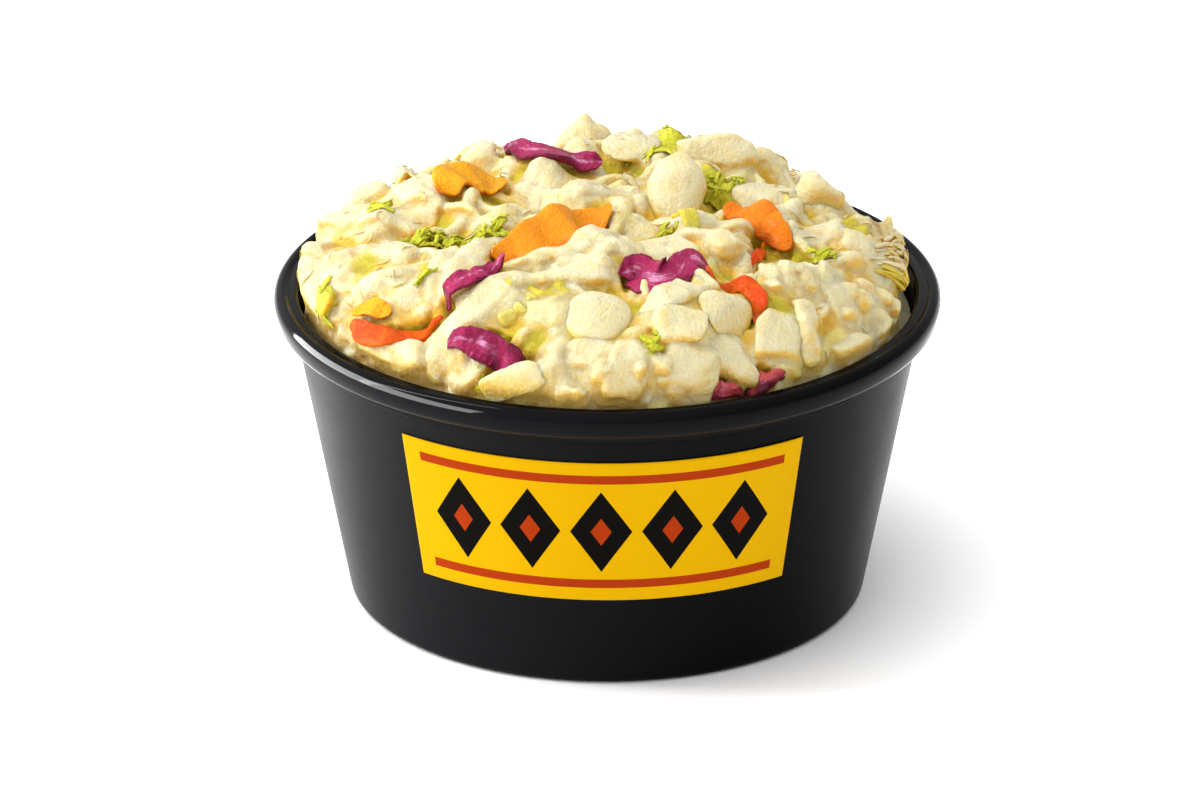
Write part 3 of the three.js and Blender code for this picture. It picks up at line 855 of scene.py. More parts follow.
def clear_of_cup(points, gap=0.25):
    """Eases points that would enter the rim or the wall back inside it, and keeps the top at its height."""
    x, y, z = points[:, 0], points[:, 1], points[:, 2]
    reach = np.hypot(x, y)
    wall = wall_radius(np.minimum(z, CUP_HEIGHT - 3)) - WALL_THICKNESS - gap
    limit = wall + EDGE_SPILL * np.clip((z - CUP_HEIGHT) / 2, 0, 1) - off_wall(x, y)
    points = points.copy()
    points[:, :2] *= (eased(reach, limit - EASING, limit) / np.maximum(reach, 1e-6))[:, None]
    points[:, 2] = eased(z, HEAP_TOP - EASING, HEAP_TOP)
    return points


print("60 mm out is eased in to", np.round(clear_of_cup(np.array([[60.0, -20.0, 50.0]])), 1))

# %% Depth in the heap
# depth sets how much shade is painted into the hollows
DEEPEST, DEEPEST_AT_WALL = 5, 0.8  # by the wall the slaw is open at its side, so depth counts for less there
WALL_ZONE, WALL_ZONE_REACH = 38, 6


def depth_under(level, points):
    """How far each point lies under a level of the pile, in millimetres."""
    x, y = points[:, 0], points[:, 1]
    lift = (points[:, 2] - heap_height(x, y)) * heap_normal(x, y)[:, 2]
    return level[cells(x, y)] - lift


def depth_in_heap(points):
    """Depth under the mean top of the pile, up to a limit."""
    nearness = np.clip((np.hypot(points[:, 0], points[:, 1]) - WALL_ZONE) / WALL_ZONE_REACH, 0, 1)
    return np.minimum(depth_under(mean_top, points), DEEPEST - (DEEPEST - DEEPEST_AT_WALL) * nearness)


print(f"hollows count as deeper down to {DEEPEST} mm, and to {DEEPEST_AT_WALL} mm by the wall")


# %% Gatherer
class Gatherer:
    """Joins many small pieces of one kind into one mesh."""

    def __init__(self, name):
        self.name = name
        self.points, self.faces, self.grain, self.tint = [], [], [], []
        self.count = 0

    def take(self, made, tint=None):
        points, faces, grain = made
        self.faces += [tuple(i + self.count for i in face) for face in faces]
        self.points.append(points)
        self.grain.append(grain)
        self.tint.append(np.full(len(points), random.uniform(0, 0.8) if tint is None else tint))
        self.count += len(points)

    def build(self):
        points = clear_of_cup(np.concatenate(self.points))
        return make_mesh(self.name, points, self.faces, {
            "grain_mm": np.concatenate(self.grain), "tint": np.concatenate(self.tint),
            "depth": depth_in_heap(points), "crease": depth_under(near_top, points)})


melded = Gatherer("melded")
print("gathering", melded.name)

# %% [markdown]
# ## The dressed layers
# Most of the cabbage is coated so well that one piece runs into the next. Chunks, leaf pieces and sticks of
# rib are laid in two layers, evenly over the slope, with two rings of chunks along the wall between them and
# thin shreds on top. Their middles follow a sunflower's spiral, which has no rows and no gaps, and each one
# is nudged a little.

# %% Places spread evenly
GOLDEN_ANGLE = math.pi * (3 - math.sqrt(5))


def spiral_places(count, reach, nudge):
    """Middles spread evenly over the sloping surface of the heap."""
    radii = np.linspace(0, reach, 300)
    height = HEAP_RISE * (1 - (radii / HEAP_RADIUS) ** HEAP_SQUARENESS)
    area = np.cumsum(radii * np.hypot(1, np.gradient(height, radii)))
    for i in range(count):
        radius = np.interp((i + 0.5) / count, area / area[-1], radii)
        x = radius * math.cos(i * GOLDEN_ANGLE) + random.uniform(-nudge, nudge)
        y = radius * math.sin(i * GOLDEN_ANGLE) + random.uniform(-nudge, nudge)
        x, y = keep_inside(np.array(x), np.array(y), 1.0)
        yield i, float(x), float(y)


print(f"each place is turned {math.degrees(GOLDEN_ANGLE):.1f} degrees from the last")


# %% Hollows and sizes
def hollow_near(x, y, reach):
    """The lowest of a few places round x, y, because loose pieces roll into hollows."""
    tries = np.array([(x, y), *((x, y) + random.normal(0, reach, (7, 2)))])
    tries = np.column_stack(keep_inside(tries[:, 0], tries[:, 1], 1.0))
    around = [(0, 0), (2, 0), (-2, 0), (0, 2), (0, -2)]
    levels = [np.mean([pile_at(px + dx, py + dy) for dx, dy in around]) for px, py in tries]
    return tuple(float(v) for v in tries[int(np.argmin(levels))])


def size_between(low, high):
    return tuple(random.uniform(a, b) for a, b in zip(low, high))


def any_heading():
    return random.uniform(0, math.pi)


print("highest place of the bare core:", round(float(pile.max()), 1), "mm")


# %% Lay the dressed layers
def meld_piece(kind, x, y, heading):
    if kind == "chunk":
        size = size_between((5.5, 4.6, 3.4), (9.5, 6.8, 5.0))
        melded.take(chunk(x, y, size, heading, random.normal(0, 0.3, 2), sink=1.3, square=0.65, cuts=5))
    elif kind == "leaf":
        width, length = size_between((8, 10), (12, 16))
        melded.take(leaf(x, y, (length, width), heading, thickness=random.uniform(1.0, 1.6)))
    else:
        route = route_wandering(x, y, heading, random.uniform(8, 16), random.uniform(-0.09, 0.09))
        width, thickness = size_between((3.5, 2.2), (6.0, 3.4))
        melded.take(strip(*route, width, thickness, sink=0.8, square=0.6, end_size=0.7))


for i, x, y in spiral_places(170, HEAP_RADIUS - 0.8, 1.2):
    meld_piece(("chunk", "leaf", "strip")[i % 3], x, y, any_heading())
for from_wall, count in ((3.6, 50), (0.9, 66)):
    for i in range(count):
        angle = i * 2 * math.pi / count + random.uniform(-0.04, 0.04)
        reach = HEAP_RADIUS - from_wall + random.uniform(-0.7, 0.7)
        size = size_between((4.5, 3.6, 2.4), (7.5, 5.4, 3.4))
        melded.take(chunk(reach * math.cos(angle), reach * math.sin(angle), size, any_heading(),
                          random.normal(0, 0.4, 2), sink=1.2, square=0.65, cuts=5))
for i, x, y in spiral_places(150, HEAP_RADIUS - 0.8, 1.2):
    x, y = hollow_near(x, y, 3.0)
    meld_piece(("strip", "chunk", "leaf")[i % 3], x, y, any_heading())
print("dressed layers:", melded.count, "points")

# %% Thin shreds over them
for i, x, y in spiral_places(150, HEAP_RADIUS - 1.5, 1.6):
    route = route_wandering(x, y, any_heading(), random.uniform(9, 18), random.uniform(-0.1, 0.1))
    width, thickness = size_between((1.3, 1.2), (2.4, 1.7))
    melded.take(strip(*route, width, thickness, stations=33, sides=10, sink=0.45, slack=0.02))
print("with the thin shreds:", melded.count, "points")

# %% [markdown]
# ## Pieces with a place of their own
# The coloured pieces and the largest pale ones are what the eye goes to first, so each has its own place. A
# place is given as it looks from the front, in millimetres across and up from the middle of the rim, and the
# helper above finds where that line of sight meets the heap. Broad wet leaf pieces come first, then ribbons,
# then the coloured strips, and the chunks that lie on top of them all come last.

# %% Gatherers for each kind, and the places that are taken
purple, carrot, green, ribbons, chunks, leaves, shreds = (Gatherer(name) for name in (
    "red_cabbage_strips", "carrot_strips", "green_leaf_bits", "cabbage_ribbons", "cabbage_chunks",
    "cabbage_leaves", "fine_shreds"))
clear_places = []


def claim(x, y, size=(0.0, 0.0)):
    """Marks places that loose pieces laid later keep clear of, over a piece of the given size."""
    for across in (-0.35, 0, 0.35):
        for along in (-0.35, 0, 0.35):
            clear_places.extend(zip(np.atleast_1d(x) + across * size[0],
                                    np.atleast_1d(y) + along * size[1]))


def shape_of(piece):
    """What a row says of a piece's shape, without its place and its tint."""
    return {key: value for key, value in piece.items() if key not in ("at", "through", "tint")}


print("kinds of loose pieces:", [g.name for g in (purple, carrot, green, ribbons, chunks, leaves, shreds)])

# %% Broad leaf pieces
BROAD_LEAVES = [
    dict(at=(-41.0, 1.5), size=(13, 11), heading=1.2),
    dict(at=(-35.0, 5.5), size=(15, 14), heading=0.4),
    dict(at=(-31.5, -0.5), size=(10, 13), heading=1.4),
    dict(at=(-38.0, 9.5), size=(13, 15), heading=0.2),
    dict(at=(-32.0, 14.0), size=(15, 17), heading=1.0),
    dict(at=(-25.5, 17.0), size=(13, 15), heading=0.3),
    dict(at=(-9.0, 22.0), size=(15, 13), heading=0.1),
    dict(at=(-0.5, 7.5), size=(11, 9), heading=0.5),
    dict(at=(-7.5, 17.0), size=(13, 11), heading=2.4),
    dict(at=(31.0, 11.0), size=(15, 12), heading=2.6, thickness=1.2),
    dict(at=(20.0, 21.5), size=(13, 11), heading=0.1, thickness=1.0),
    dict(at=(7.5, 23.0), size=(13, 11), heading=0.6),
    dict(at=(-33.5, -9.5), size=(11, 7), heading=2.5),
    dict(at=(12.0, 12.5), size=(9, 9), heading=1.0),
]
for piece in BROAD_LEAVES:
    x, y = seen_place(*piece["at"])
    melded.take(leaf(x, y, piece["size"], piece["heading"], thickness=piece.get("thickness", 1.7), sink=0.3,
                     curl=0.3, rigid=90, slack=0.02, ruffle=0.45, detail=(40, 34)), 0.15)
    claim(x, y, piece["size"])

YELLOW_LEAVES = [  # the yellower parts of the leaf: place and size
    ((11.5, 23.4), (10, 7)), ((-10.5, 0.8), (9, 5)), ((7.5, -8.6), (6, 4)), ((37.3, 10.5), (4, 5)),
    ((17, 18), (7, 6)), ((-20.5, -13.4), (7, 4)), ((28, -4), (4, 6)), ((-26, 3.5), (3, 5)),
]
for at, size in YELLOW_LEAVES:
    x, y = seen_place(*at)
    melded.take(leaf(x, y, size, 0.0, thickness=1.4, sink=0.4, detail=(30, 24)), 1.0)
print("broad leaf pieces:", len(BROAD_LEAVES) + len(YELLOW_LEAVES))

# %% Ribbons and bands
SOFT_BANDS = [  # melded with the dressing
    dict(through=[(-23, 8), (-24.5, 4), (-26, -0.5)], width=3.4, thickness=2.2),
    dict(through=[(-17, 10), (-20, 6.5), (-22.5, 2), (-23.5, -0.5)], width=4.4, thickness=2.6),
    dict(through=[(-20.5, 3.5), (-13.5, 7), (-5, 7), (2, 9.5)], width=4.0, thickness=2.4),
    dict(through=[(-7, 14), (-0.5, 16), (5.5, 17)], width=4.4, thickness=2.4),
    dict(through=[(-25.5, -15), (-24.6, -9.6), (-22.3, -5.2), (-18.6, -1.5), (-14, 2), (-9.5, 3.6),
                  (-3.5, 4), (2.5, 3.6)], width=5.6, thickness=2.4, relief=0.1),
    dict(through=[(-22, -12), (-20.5, -6.5), (-16.5, -3), (-12.5, 0)], width=3.0, thickness=2.2),
    dict(through=[(-6.5, -5), (-8.5, -9.5), (-7, -15)], width=4.0, thickness=2.6),
    dict(through=[(6.5, 5), (0, 7.5), (-6, 8.5)], width=3.0, thickness=2.0),
]
RIBBONS = [  # crisp on top
    dict(through=[(27.2, -1.5), (28.2, -6), (29.5, -11)], width=3.6, thickness=2.4, twist=0.3),
    dict(through=[(13, 9), (18, 5.5), (22.5, 0.5), (25, -5)], width=2.2, thickness=1.3, twist=0.5),
    dict(through=[(6, 17.5), (9.5, 14), (13.5, 9.5)], width=2.6, thickness=1.2, twist=0.6, tint=0.95),
    dict(through=[(15.5, 2.6), (12.5, 0.8), (9, -1.8), (5.5, -4.5)], width=5.6, thickness=3.4, relief=0.02),
    dict(through=[(-16, -4), (-13, -3), (-10.5, -0.5)], width=3.0, thickness=2.0, tint=0.8),
]


def placed_strip(piece, **extra):
    """A strip along its own route. What its row says of its shape goes before what its kind says."""
    route = route_through(piece["through"])
    for nearer in (0, 4, 7):  # a tall piece just in front would hide it
        clear_places.extend(zip(route[0], route[1] - nearer))
    return strip(*route, **{**extra, **shape_of(piece)})


for piece in SOFT_BANDS:
    melded.take(placed_strip(piece, stations=41, camber=0.05, sink=0.9, end_size=0.5), 0.15)
for piece in RIBBONS:
    ribbons.take(placed_strip(piece, stations=61, sides=20, camber=0.05, frill=0.05, sink=0.8,
                              end_size=0.35), piece.get("tint", 0.2))
print("bands and ribbons:", len(SOFT_BANDS) + len(RIBBONS))

# %% [markdown]
# ## Carrot, red cabbage and green leaf
# These came from other vegetables and keep their own colour where the dressing has run off. Carrot is shaved
# into limp pointed strips that grow wide in the middle. Red cabbage is shredded across its leaves, so its
# strips have crimped edges, and a few are flat pieces of leaf. The green is the outer leaf, chopped to
# slivers that cling together in small patches. The tint that ends a row picks the colour within the kind.

# %% Carrot strips
pale_pile = pile.copy()
CARROT_STRIPS = [
    dict(through=[(-17.5, 6.5), (-11, 8.6), (-6, 10.6), (0.8, 13.2)], width=7.4, lean=-0.2, twist=0.3,
         profile=(0.7, 1.1, 1.1, 0.7), tint=0.8),
    dict(through=[(-37, -5.1), (-34.3, -6.6), (-31.3, -6.7), (-27.9, -5.1), (-24, -2.2)], width=3.8,
         twist=0.4, profile=(0.7, 1.2, 1.1, 0.8, 0.5), tint=0.0),
    dict(through=[(14.4, 2.6), (17.7, 2.0), (20.7, 0.4), (22.2, -1.8), (21.6, -4.5)], width=3.0, lean=-0.4,
         tint=0.0),
    dict(through=[(17.3, 14.4), (21, 13), (24.6, 10.9), (27.6, 8.6)], width=5.4, lean=-0.3, tint=0.72),
    dict(through=[(23.5, 9.8), (22.6, 8.2), (21.6, 6.8)], width=1.8, thickness=1.0, tint=0.1),
    dict(through=[(-24.6, 14.4), (-22.6, 15.9), (-19.3, 17.1), (-14.8, 17.5)], width=6.6, lean=-0.3,
         tint=1.0),
    dict(through=[(-36.4, -4.2), (-34.2, -2.8), (-31, -2.8)], width=3.2, thickness=0.9, tint=1.0),
]
for piece in CARROT_STRIPS:
    carrot.take(placed_strip(piece, thickness=1.6, stations=61, sides=24, blunt=2.2, end_size=0.06,
                             camber=0.06, frill=0.04, frill_pitch=3.4, rigid=200, sink=0.0), piece["tint"])
print("carrot strips:", len(CARROT_STRIPS))

# %% Red cabbage
RED_STRIPS = [
    dict(through=[(-15.3, 22), (-12.6, 20.4), (-8.8, 19.5), (-5.1, 19.4), (-0.8, 19.4)], width=3.8,
         lean=-0.5, sink=-0.9, profile=(0.5, 0.9, 1.1, 1.0, 1.1), tint=0.58),
    dict(through=[(1.5, 3.0), (4.2, 4.2), (7, 2.6), (9.8, 3.0), (12.2, 5.2), (15.9, 4.6)], width=5.4,
         lean=-0.5, profile=(0.7, 1.3, 1.3, 0.8, 1.0, 0.9), tint=0.3),
    dict(through=[(-23.9, -1.6), (-20.1, 0.9), (-17.8, 3), (-15.2, 5)], width=3.0, lean=-0.2, sink=-0.9,
         profile=(0.8, 1.2, 1.0, 0.5), tint=0.2),
    dict(through=[(-23.2, -8.4), (-19.4, -7.4), (-15.6, -8.5), (-11.2, -11.6)], width=4.4, lean=-0.1,
         profile=(0.5, 1.1, 1.2, 0.9), tint=0.55),
]
RED_PATCHES = [
    dict(at=(16.6, -13.6), size=(6.6, 4.0), heading=0.1, tint=0.85),
    dict(at=(22.6, -11.9), size=(5.8, 4.0), heading=0.4, tint=1.0),
]
for piece in RED_STRIPS:
    purple.take(placed_strip(piece, thickness=1.5, stations=81, sides=24, blunt=3.0, end_size=0.1,
                             camber=0.1, frill=0.05, frill_pitch=1.2, relief=0.08, rigid=200, sink=0.0),
                piece["tint"])
for piece in RED_PATCHES:
    x, y = seen_place(*piece["at"])
    claim(x, y, piece["size"])
    purple.take(leaf(x, y, **shape_of(piece), thickness=0.9, sink=-0.2, curl=0.2, rigid=60, lobes=0.2,
                     detail=(30, 24)), piece["tint"])
print("pieces of red cabbage:", len(RED_STRIPS) + len(RED_PATCHES))

# %% Green leaf
GREEN_LEAVES = [  # across, up and size
    (12.2, 22.2, (13, 8)), (15.8, 17.4, (6, 5)), (-25.5, 10.0, (6.5, 3.4)), (-39.5, -1.8, (4, 3)),
]
GREEN_BITS = [  # across, up, size of the patch and how many slivers
    (-28, 9.5, 3.2, 9), (-25.5, 10.5, 3.4, 10), (-22, 10.3, 3.4, 10), (-19, 10.8, 3.4, 10),
    (-16, 11.3, 2.6, 8), (-33.5, 12.3, 2.2, 6), (6, 22, 3.6, 8), (10.5, 23.5, 3.6, 8), (15, 23, 3.4, 7),
    (16.5, 17.5, 3.4, 9), (19.5, 18.2, 3.0, 7), (5, 10, 2.8, 8), (8, 10.8, 2.4, 6), (31.5, 6.6, 2.6, 7),
    (36, 10.5, 2.6, 6), (-40.5, -1, 4.0, 6), (-43.8, 2.6, 2.6, 5), (-26, 2.5, 1.2, 3), (7.5, -8, 2.6, 6),
    (-19, -13, 2.6, 5),
]
for across, up, size in GREEN_LEAVES:
    x, y = seen_place(across, up)
    claim(x, y, size)
    green.take(leaf(x, y, size, 0.3, thickness=0.5, sink=0.0, lobes=0.25, curl=0.2, detail=(26, 20)), 0.1)
for across, up, size, bits in GREEN_BITS:
    x, y = seen_place(across, up)
    claim(x, y)
    for _ in range(bits):
        nearby_x, nearby_y = x + random.normal(0, 0.32 * size), y + random.normal(0, 0.32 * size)
        width, length = size_between((0.5, 1.6), (1.0, 3.4))
        green.take(leaf(nearby_x, nearby_y, (length, width), random.normal(0.5, 0.5), thickness=0.25,
                        sink=0.0, lobes=0.4, curl=0.35, detail=(12, 6)))
coloured = blurred((pile > pale_pile + 0.1).astype(float), 1) > 0.2  # the dressing stays off these places
print(f"coloured pieces cover {coloured.mean():.0%} of the map")

# %% [markdown]
# ## Chunks with a place of their own
# Chopped rib and heart are the palest pieces and stand out most. Some are half sunk in dressing and meld with
# what is round them. Others lie on top, with firm edges and a shadow of their own.

# %% Soft chunks
SOFT_CHUNKS = [
    dict(at=(-8.5, -3), size=(7.0, 6.0, 3.4), heading=0.1, square=0.75, cuts=3, tint=0.6),
    dict(at=(3.5, 22.5), size=(9, 8.0, 2.4), heading=0.2, square=0.7, cuts=3, tint=0.1),
    dict(at=(-3.4, 24.4), size=(9.6, 5.5, 10.6), heading=0.0, square=1.4, cuts=1, rough=0.09, tint=0.2),
    dict(at=(-20, -11.5), size=(6.4, 4.6, 2.6), heading=0.0, square=0.7, cuts=3, tint=0.3),
    dict(at=(-18.8, 21.0), size=(6.8, 6.4, 7.2), heading=0.0, square=0.85, cuts=2, tint=0.2),
    dict(at=(10.8, -5.8), size=(9.0, 6.6, 3.8), heading=0.3, square=0.65, cuts=4, tint=0.2),
    dict(at=(-1.5, -9.3), size=(10.4, 6.6, 3.6), heading=-0.1, square=0.65, cuts=4, tint=0.2),
    dict(at=(2.2, -12), size=(7.0, 9.6, 3.6), heading=0.1, square=0.6, cuts=4, tint=0.1),
    dict(at=(11.8, -11.8), size=(8.4, 9.6, 3.8), heading=0.1, square=0.6, cuts=4, tint=0.1),
    dict(at=(18.7, -9), size=(9.4, 6.4, 3.6), heading=-0.1, square=0.65, cuts=4, tint=0.1),
    dict(at=(24.2, -6.5), size=(7.4, 9.6, 4.0), heading=0.2, square=0.65, cuts=3, tint=0.1),
    dict(at=(26.5, 1.5), size=(5.8, 7.0, 4.0), heading=0.1, square=0.65, cuts=3, tint=0.1),
    dict(at=(9, 8.5), size=(9.0, 8.0, 3.4), heading=0.2, square=0.65, cuts=4, tint=0.2),
    dict(at=(18.5, 8.5), size=(7.0, 6.2, 3.4), heading=0.5, square=0.7, cuts=4, tint=0.3),
    dict(at=(38, 11.5), size=(8.0, 7.0, 3.2), heading=-0.5, square=0.7, cuts=4, tint=0.2),
    dict(at=(35.7, -7.8), size=(10, 6.8, 4.2), heading=0.3, square=0.7, cuts=3, tint=0.2),
    dict(at=(33.5, -1), size=(13.5, 5.6, 4.0), heading=-0.45, square=0.7, cuts=3, tint=0.2),
    dict(at=(40, -5), size=(6.4, 5.4, 3.6), heading=-0.6, square=0.7, cuts=3, tint=0.2),
    dict(at=(24.2, 17.0), size=(11, 9.0, 3.6), heading=0.0, square=0.65, cuts=3, tint=0.1),
    dict(at=(-35.4, 15.0), size=(8.5, 7.0, 6.0), heading=0.4, square=0.8, cuts=2, sink=1.0, tint=0.1),
    dict(at=(39.0, 4.0), size=(10, 9.0, 3.0), heading=0.2, square=0.8, cuts=2, tint=0.3),
    dict(at=(16.4, 21.5), size=(13, 8.0, 5.4), heading=0.0, square=0.65, cuts=3, tint=0.1),
    dict(at=(36.8, 7.4), size=(8.4, 7.4, 3.2), heading=0.3, square=0.8, cuts=2, tint=0.2),
    dict(at=(-39.8, -2.2), size=(5.0, 4.0, 2.6), heading=0.2, square=0.8, cuts=2, tint=1.0),
    dict(at=(-29, -9.5), size=(7.0, 5.0, 3.0), heading=-0.6, square=0.75, cuts=3, tint=0.1),
]


def placed_chunk(piece, **extra):
    x, y = seen_place(*piece["at"])
    claim(x, y, piece["size"])
    return chunk(x, y, **{**extra, **shape_of(piece)})


for piece in SOFT_CHUNKS:
    melded.take(placed_chunk(piece, sink=1.6, rough=0.08, layers=0.03, detail=(40, 28)), piece["tint"])
print("soft chunks:", len(SOFT_CHUNKS))

# %% Firm chunks
FIRM_CHUNKS = [
    dict(at=(-1.5, -3), size=(9.8, 10, 4.8), heading=-0.3, square=0.85, cuts=0, sink=1.4, rough=0.02,
         layers=0),
    dict(at=(10.3, 16.4), size=(8.8, 14.5, 5.0), heading=0.0, tilt=(0.0, 0.5), square=0.95, cuts=0,
         rough=0.04, layers=0.0, point=0.8, sink=0.1),
    dict(at=(31.7, 15.2), size=(7.2, 6.0, 6.6), heading=0.1, tilt=(0.1, 0.2), square=0.6, cuts=1,
         rough=0.04, layers=0.01, sink=0.6),
    dict(at=(16.8, -3.6), size=(9.0, 7.6, 4.6), heading=0.2, square=0.75, cuts=2, layers=0.005),
    dict(at=(-44.4, 5.0), size=(4.6, 4.8, 3.6), heading=0.5, square=0.85, cuts=1, sink=1.1),
    dict(at=(-13.5, -13.3), size=(10.4, 5.6, 3.8), heading=0.05, square=0.6, cuts=3, layers=0.005),
]
for piece in FIRM_CHUNKS:
    chunks.take(placed_chunk(piece, detail=(40, 28), sink=1.6), 0.2)
print("firm chunks:", len(FIRM_CHUNKS))

# %% [markdown]
# ## A frayed piece and a crumbly one
# A shaved core of cabbage frays into a brush of fine fibres, all side by side, and a chopped heart falls into
# crumbs. Both are many small pieces close together, which share a heading or a place.

# %% Frayed piece
x, y = seen_place(38.0, 5.0)
claim(x, y)
melded.take(leaf(x, y, (11, 10), 0.2, thickness=1.6, sink=0.6, lobes=0.12, detail=(40, 34)), 0.1)
for i in range(60):
    spread = (i % 20 - 9.5) / 9.5
    outward = random.uniform(0, 3)
    start = (38 + outward + random.normal(0, 0.6), 4.8 + 2.4 * spread)
    end = (42.6 + 0.8 * outward + random.normal(0, 0.5), 3.0 + 4.6 * spread)
    route = route_through([start, end])
    width, thickness = size_between((0.5, 0.4), (1.0, 0.7))
    shreds.take(strip(*route, width, thickness, stations=17, sides=6, sink=0.15, camber=0.0, blunt=3,
                      frill=0.2, frill_pitch=1.6, inset=1.6), 0.9 if spread < -0.5 else 0.3)
print("shreds of the frayed piece:", len(shreds.points))

# %% Crumbs
CRUMB_PLACES = [  # across, up, size of the patch and how many crumbs
    (30, 2.5, 3.0, 7), (34, 1.2, 3.0, 8), (38, 0.2, 3.0, 8), (38.5, 12.0, 3.0, 7), (41, 9.5, 2.6, 6),
    (25, 3.0, 2.2, 4), (-4.5, -14.5, 2.2, 4), (41, -2, 2.4, 5), (5, -9.5, 2.0, 2),
]
for across, up, size, count in CRUMB_PLACES:
    for _ in range(count):
        x, y = seen_place(across + random.normal(0, 0.5 * size), up + random.normal(0, 0.4 * size))
        x, y = hollow_near(x, y, 0.8)
        crumb = size_between((2.6, 2.0, 2.0), (4.8, 3.8, 3.4))
        melded.take(chunk(x, y, crumb, any_heading(), random.normal(0, 0.4, 2), sink=0.5 * crumb[2],
                          square=0.8, rough=0.14, cuts=3), 0.2)
    claim(*seen_place(across, up))
print("crumbs:", sum(row[3] for row in CRUMB_PLACES))

# %% [markdown]
# ## The upper layer
# Some pieces lie loose on top and keep crisp edges. They are strewn over the same spiral, roll into hollows
# and keep clear of the placed ones, so that none of those is buried. Fine shreds fill in between them.

# %% Free places
claimed = np.array(clear_places)


def is_free(x, y, distance):
    """Whether a place, or every place of a route, keeps this far from all that is claimed."""
    apart = claimed[:, None] - np.stack([np.atleast_1d(x), np.atleast_1d(y)], -1)
    return float(np.hypot(apart[..., 0], apart[..., 1]).min()) > distance


print("claimed places:", len(claimed))

# %% Lay the upper layer
for i, x, y in spiral_places(210, HEAP_RADIUS - 1.0, 1.5):
    x, y = hollow_near(x, y, 2.5)
    heading = any_heading()
    tilt = random.normal(0, 0.3, 2)
    kind = ("chunk", "ribbon", "leaf", "chunk", "ribbon")[i % 5]
    if kind == "chunk":
        if is_free(x, y, 5.0):
            size = size_between((4.5, 3.6, 2.8), (8, 5.4, 4.2))
            chunks.take(chunk(x, y, size, heading, tilt, sink=1.3, square=0.6, cuts=6))
    elif kind == "ribbon":
        route = route_wandering(x, y, heading, random.uniform(7, 14), random.uniform(-0.12, 0.12))
        if is_free(*route, 4.0):
            width, thickness = size_between((2.8, 1.6), (4.8, 2.8))
            ribbons.take(strip(*route, width, thickness, sink=0.9, square=0.6, end_size=0.7,
                               twist=random.uniform(-0.6, 0.6)))
    elif is_free(x, y, 5.5):
        width, length = size_between((5, 7), (8, 11))
        leaves.take(leaf(x, y, (length, width), heading, thickness=random.uniform(0.7, 1.1), curl=0.7))
print("ribbons, chunks and leaves so far:", [len(pieces.points) for pieces in (ribbons, chunks, leaves)])

# %% Fine shreds
for _, x, y in spiral_places(150, HEAP_RADIUS - 0.9, 1.5):
    route = route_wandering(x, y, any_heading(), random.uniform(4, 9), random.uniform(-0.15, 0.15))
    if is_free(*route, 2.0):
        width, thickness = size_between((0.9, 0.6), (1.8, 1.0))
        shreds.take(strip(*route, width, thickness, stations=17, sides=8, sink=0.4, camber=0.0, blunt=3))
print("shreds in all:", len(shreds.points))

# %% [markdown]
# ## Loose fibres
# Cut cabbage frays, so short fibres lie all over the wet surface. Real ones are about a tenth of a millimetre
# thick, which is too fine to show, so these are drawn two to four times as thick. Each one is a bowed
# three-sided tube that thins out towards its ends.

# %% One fibre
def fibre(x, y, heading, length, radius, arch, stations=6):
    t = np.linspace(-0.5, 0.5, stations)
    px = x + t * length * math.cos(heading) - (t ** 2) * arch * math.sin(heading)
    py = y + t * length * math.sin(heading) + (t ** 2) * arch * math.cos(heading)
    px, py = keep_inside(px, py, 0.5)
    lift = smoothed(pile_at(px, py), 1) + 0.4 * radius + 0.35 * (0.25 - t ** 2) * abs(arch)
    centre = on_heap(px, py, lift)
    along = np.gradient(centre, axis=0)
    along /= np.linalg.norm(along, axis=1, keepdims=True)
    normal = heap_normal(px, py)
    across = np.cross(along, normal)
    size = radius * (1 - 0.85 * np.abs(2 * t) ** 2)
    ring = [across * math.cos(a) + normal * math.sin(a) for a in (0.5, 2.6, 4.7)]
    points = np.stack([centre + direction * size[:, None] for direction in ring], 1).reshape(-1, 3)
    faces = grid_faces(stations, 3) + [(0, 1, 2), (3 * stations - 1, 3 * stations - 2, 3 * stations - 3)]
    grain = np.column_stack([np.zeros(len(points)), np.repeat(t * length, 3), np.zeros(len(points))])
    return points, faces, grain


fibres = Gatherer("frayed_fibres")
print("gathering", fibres.name)

# %% Lay the fibres
for _, x, y in spiral_places(1000, HEAP_RADIUS - 0.8, 1.5):
    if is_free(x, y, 1.6):
        length, radius, arch = size_between((1.2, 0.12, -2), (3.2, 0.22, 2))
        fibres.take(fibre(x, y, any_heading(), length, radius, arch))
print("fibres:", len(fibres.points))

# %% Mean tops of the finished pile
mean_top, near_top = blurred(pile, 6), blurred(pile, 2)  # the second follows single pieces
reach = np.hypot(*np.meshgrid(ticks, ticks))
for ring in (10, 20, 30, 36, 40, 43, 45):
    here = np.abs(reach - ring) < 1.5
    print(f"pile {ring} mm out: {pile[here].mean():.1f} mm over the mound, up to {pile[here].max():.1f}")

# %% [markdown]
# ## Melding the dressed layers
# In a real helping the dressing bridges every seam, so the dressed pieces have one wet skin in common. They
# are melded with a core under them by a voxel remesh, which makes one skin round all that touches, and a
# light smoothing rounds the seams as dressing does. The new skin knows nothing of the pieces, so each of its
# points asks the nearest old point for its grain and tint.

# %% Core of the heap
DRESSING_SINK = 0.35  # the dressing between pieces stands this far under their mean top
CORE_BOTTOM = 40.0


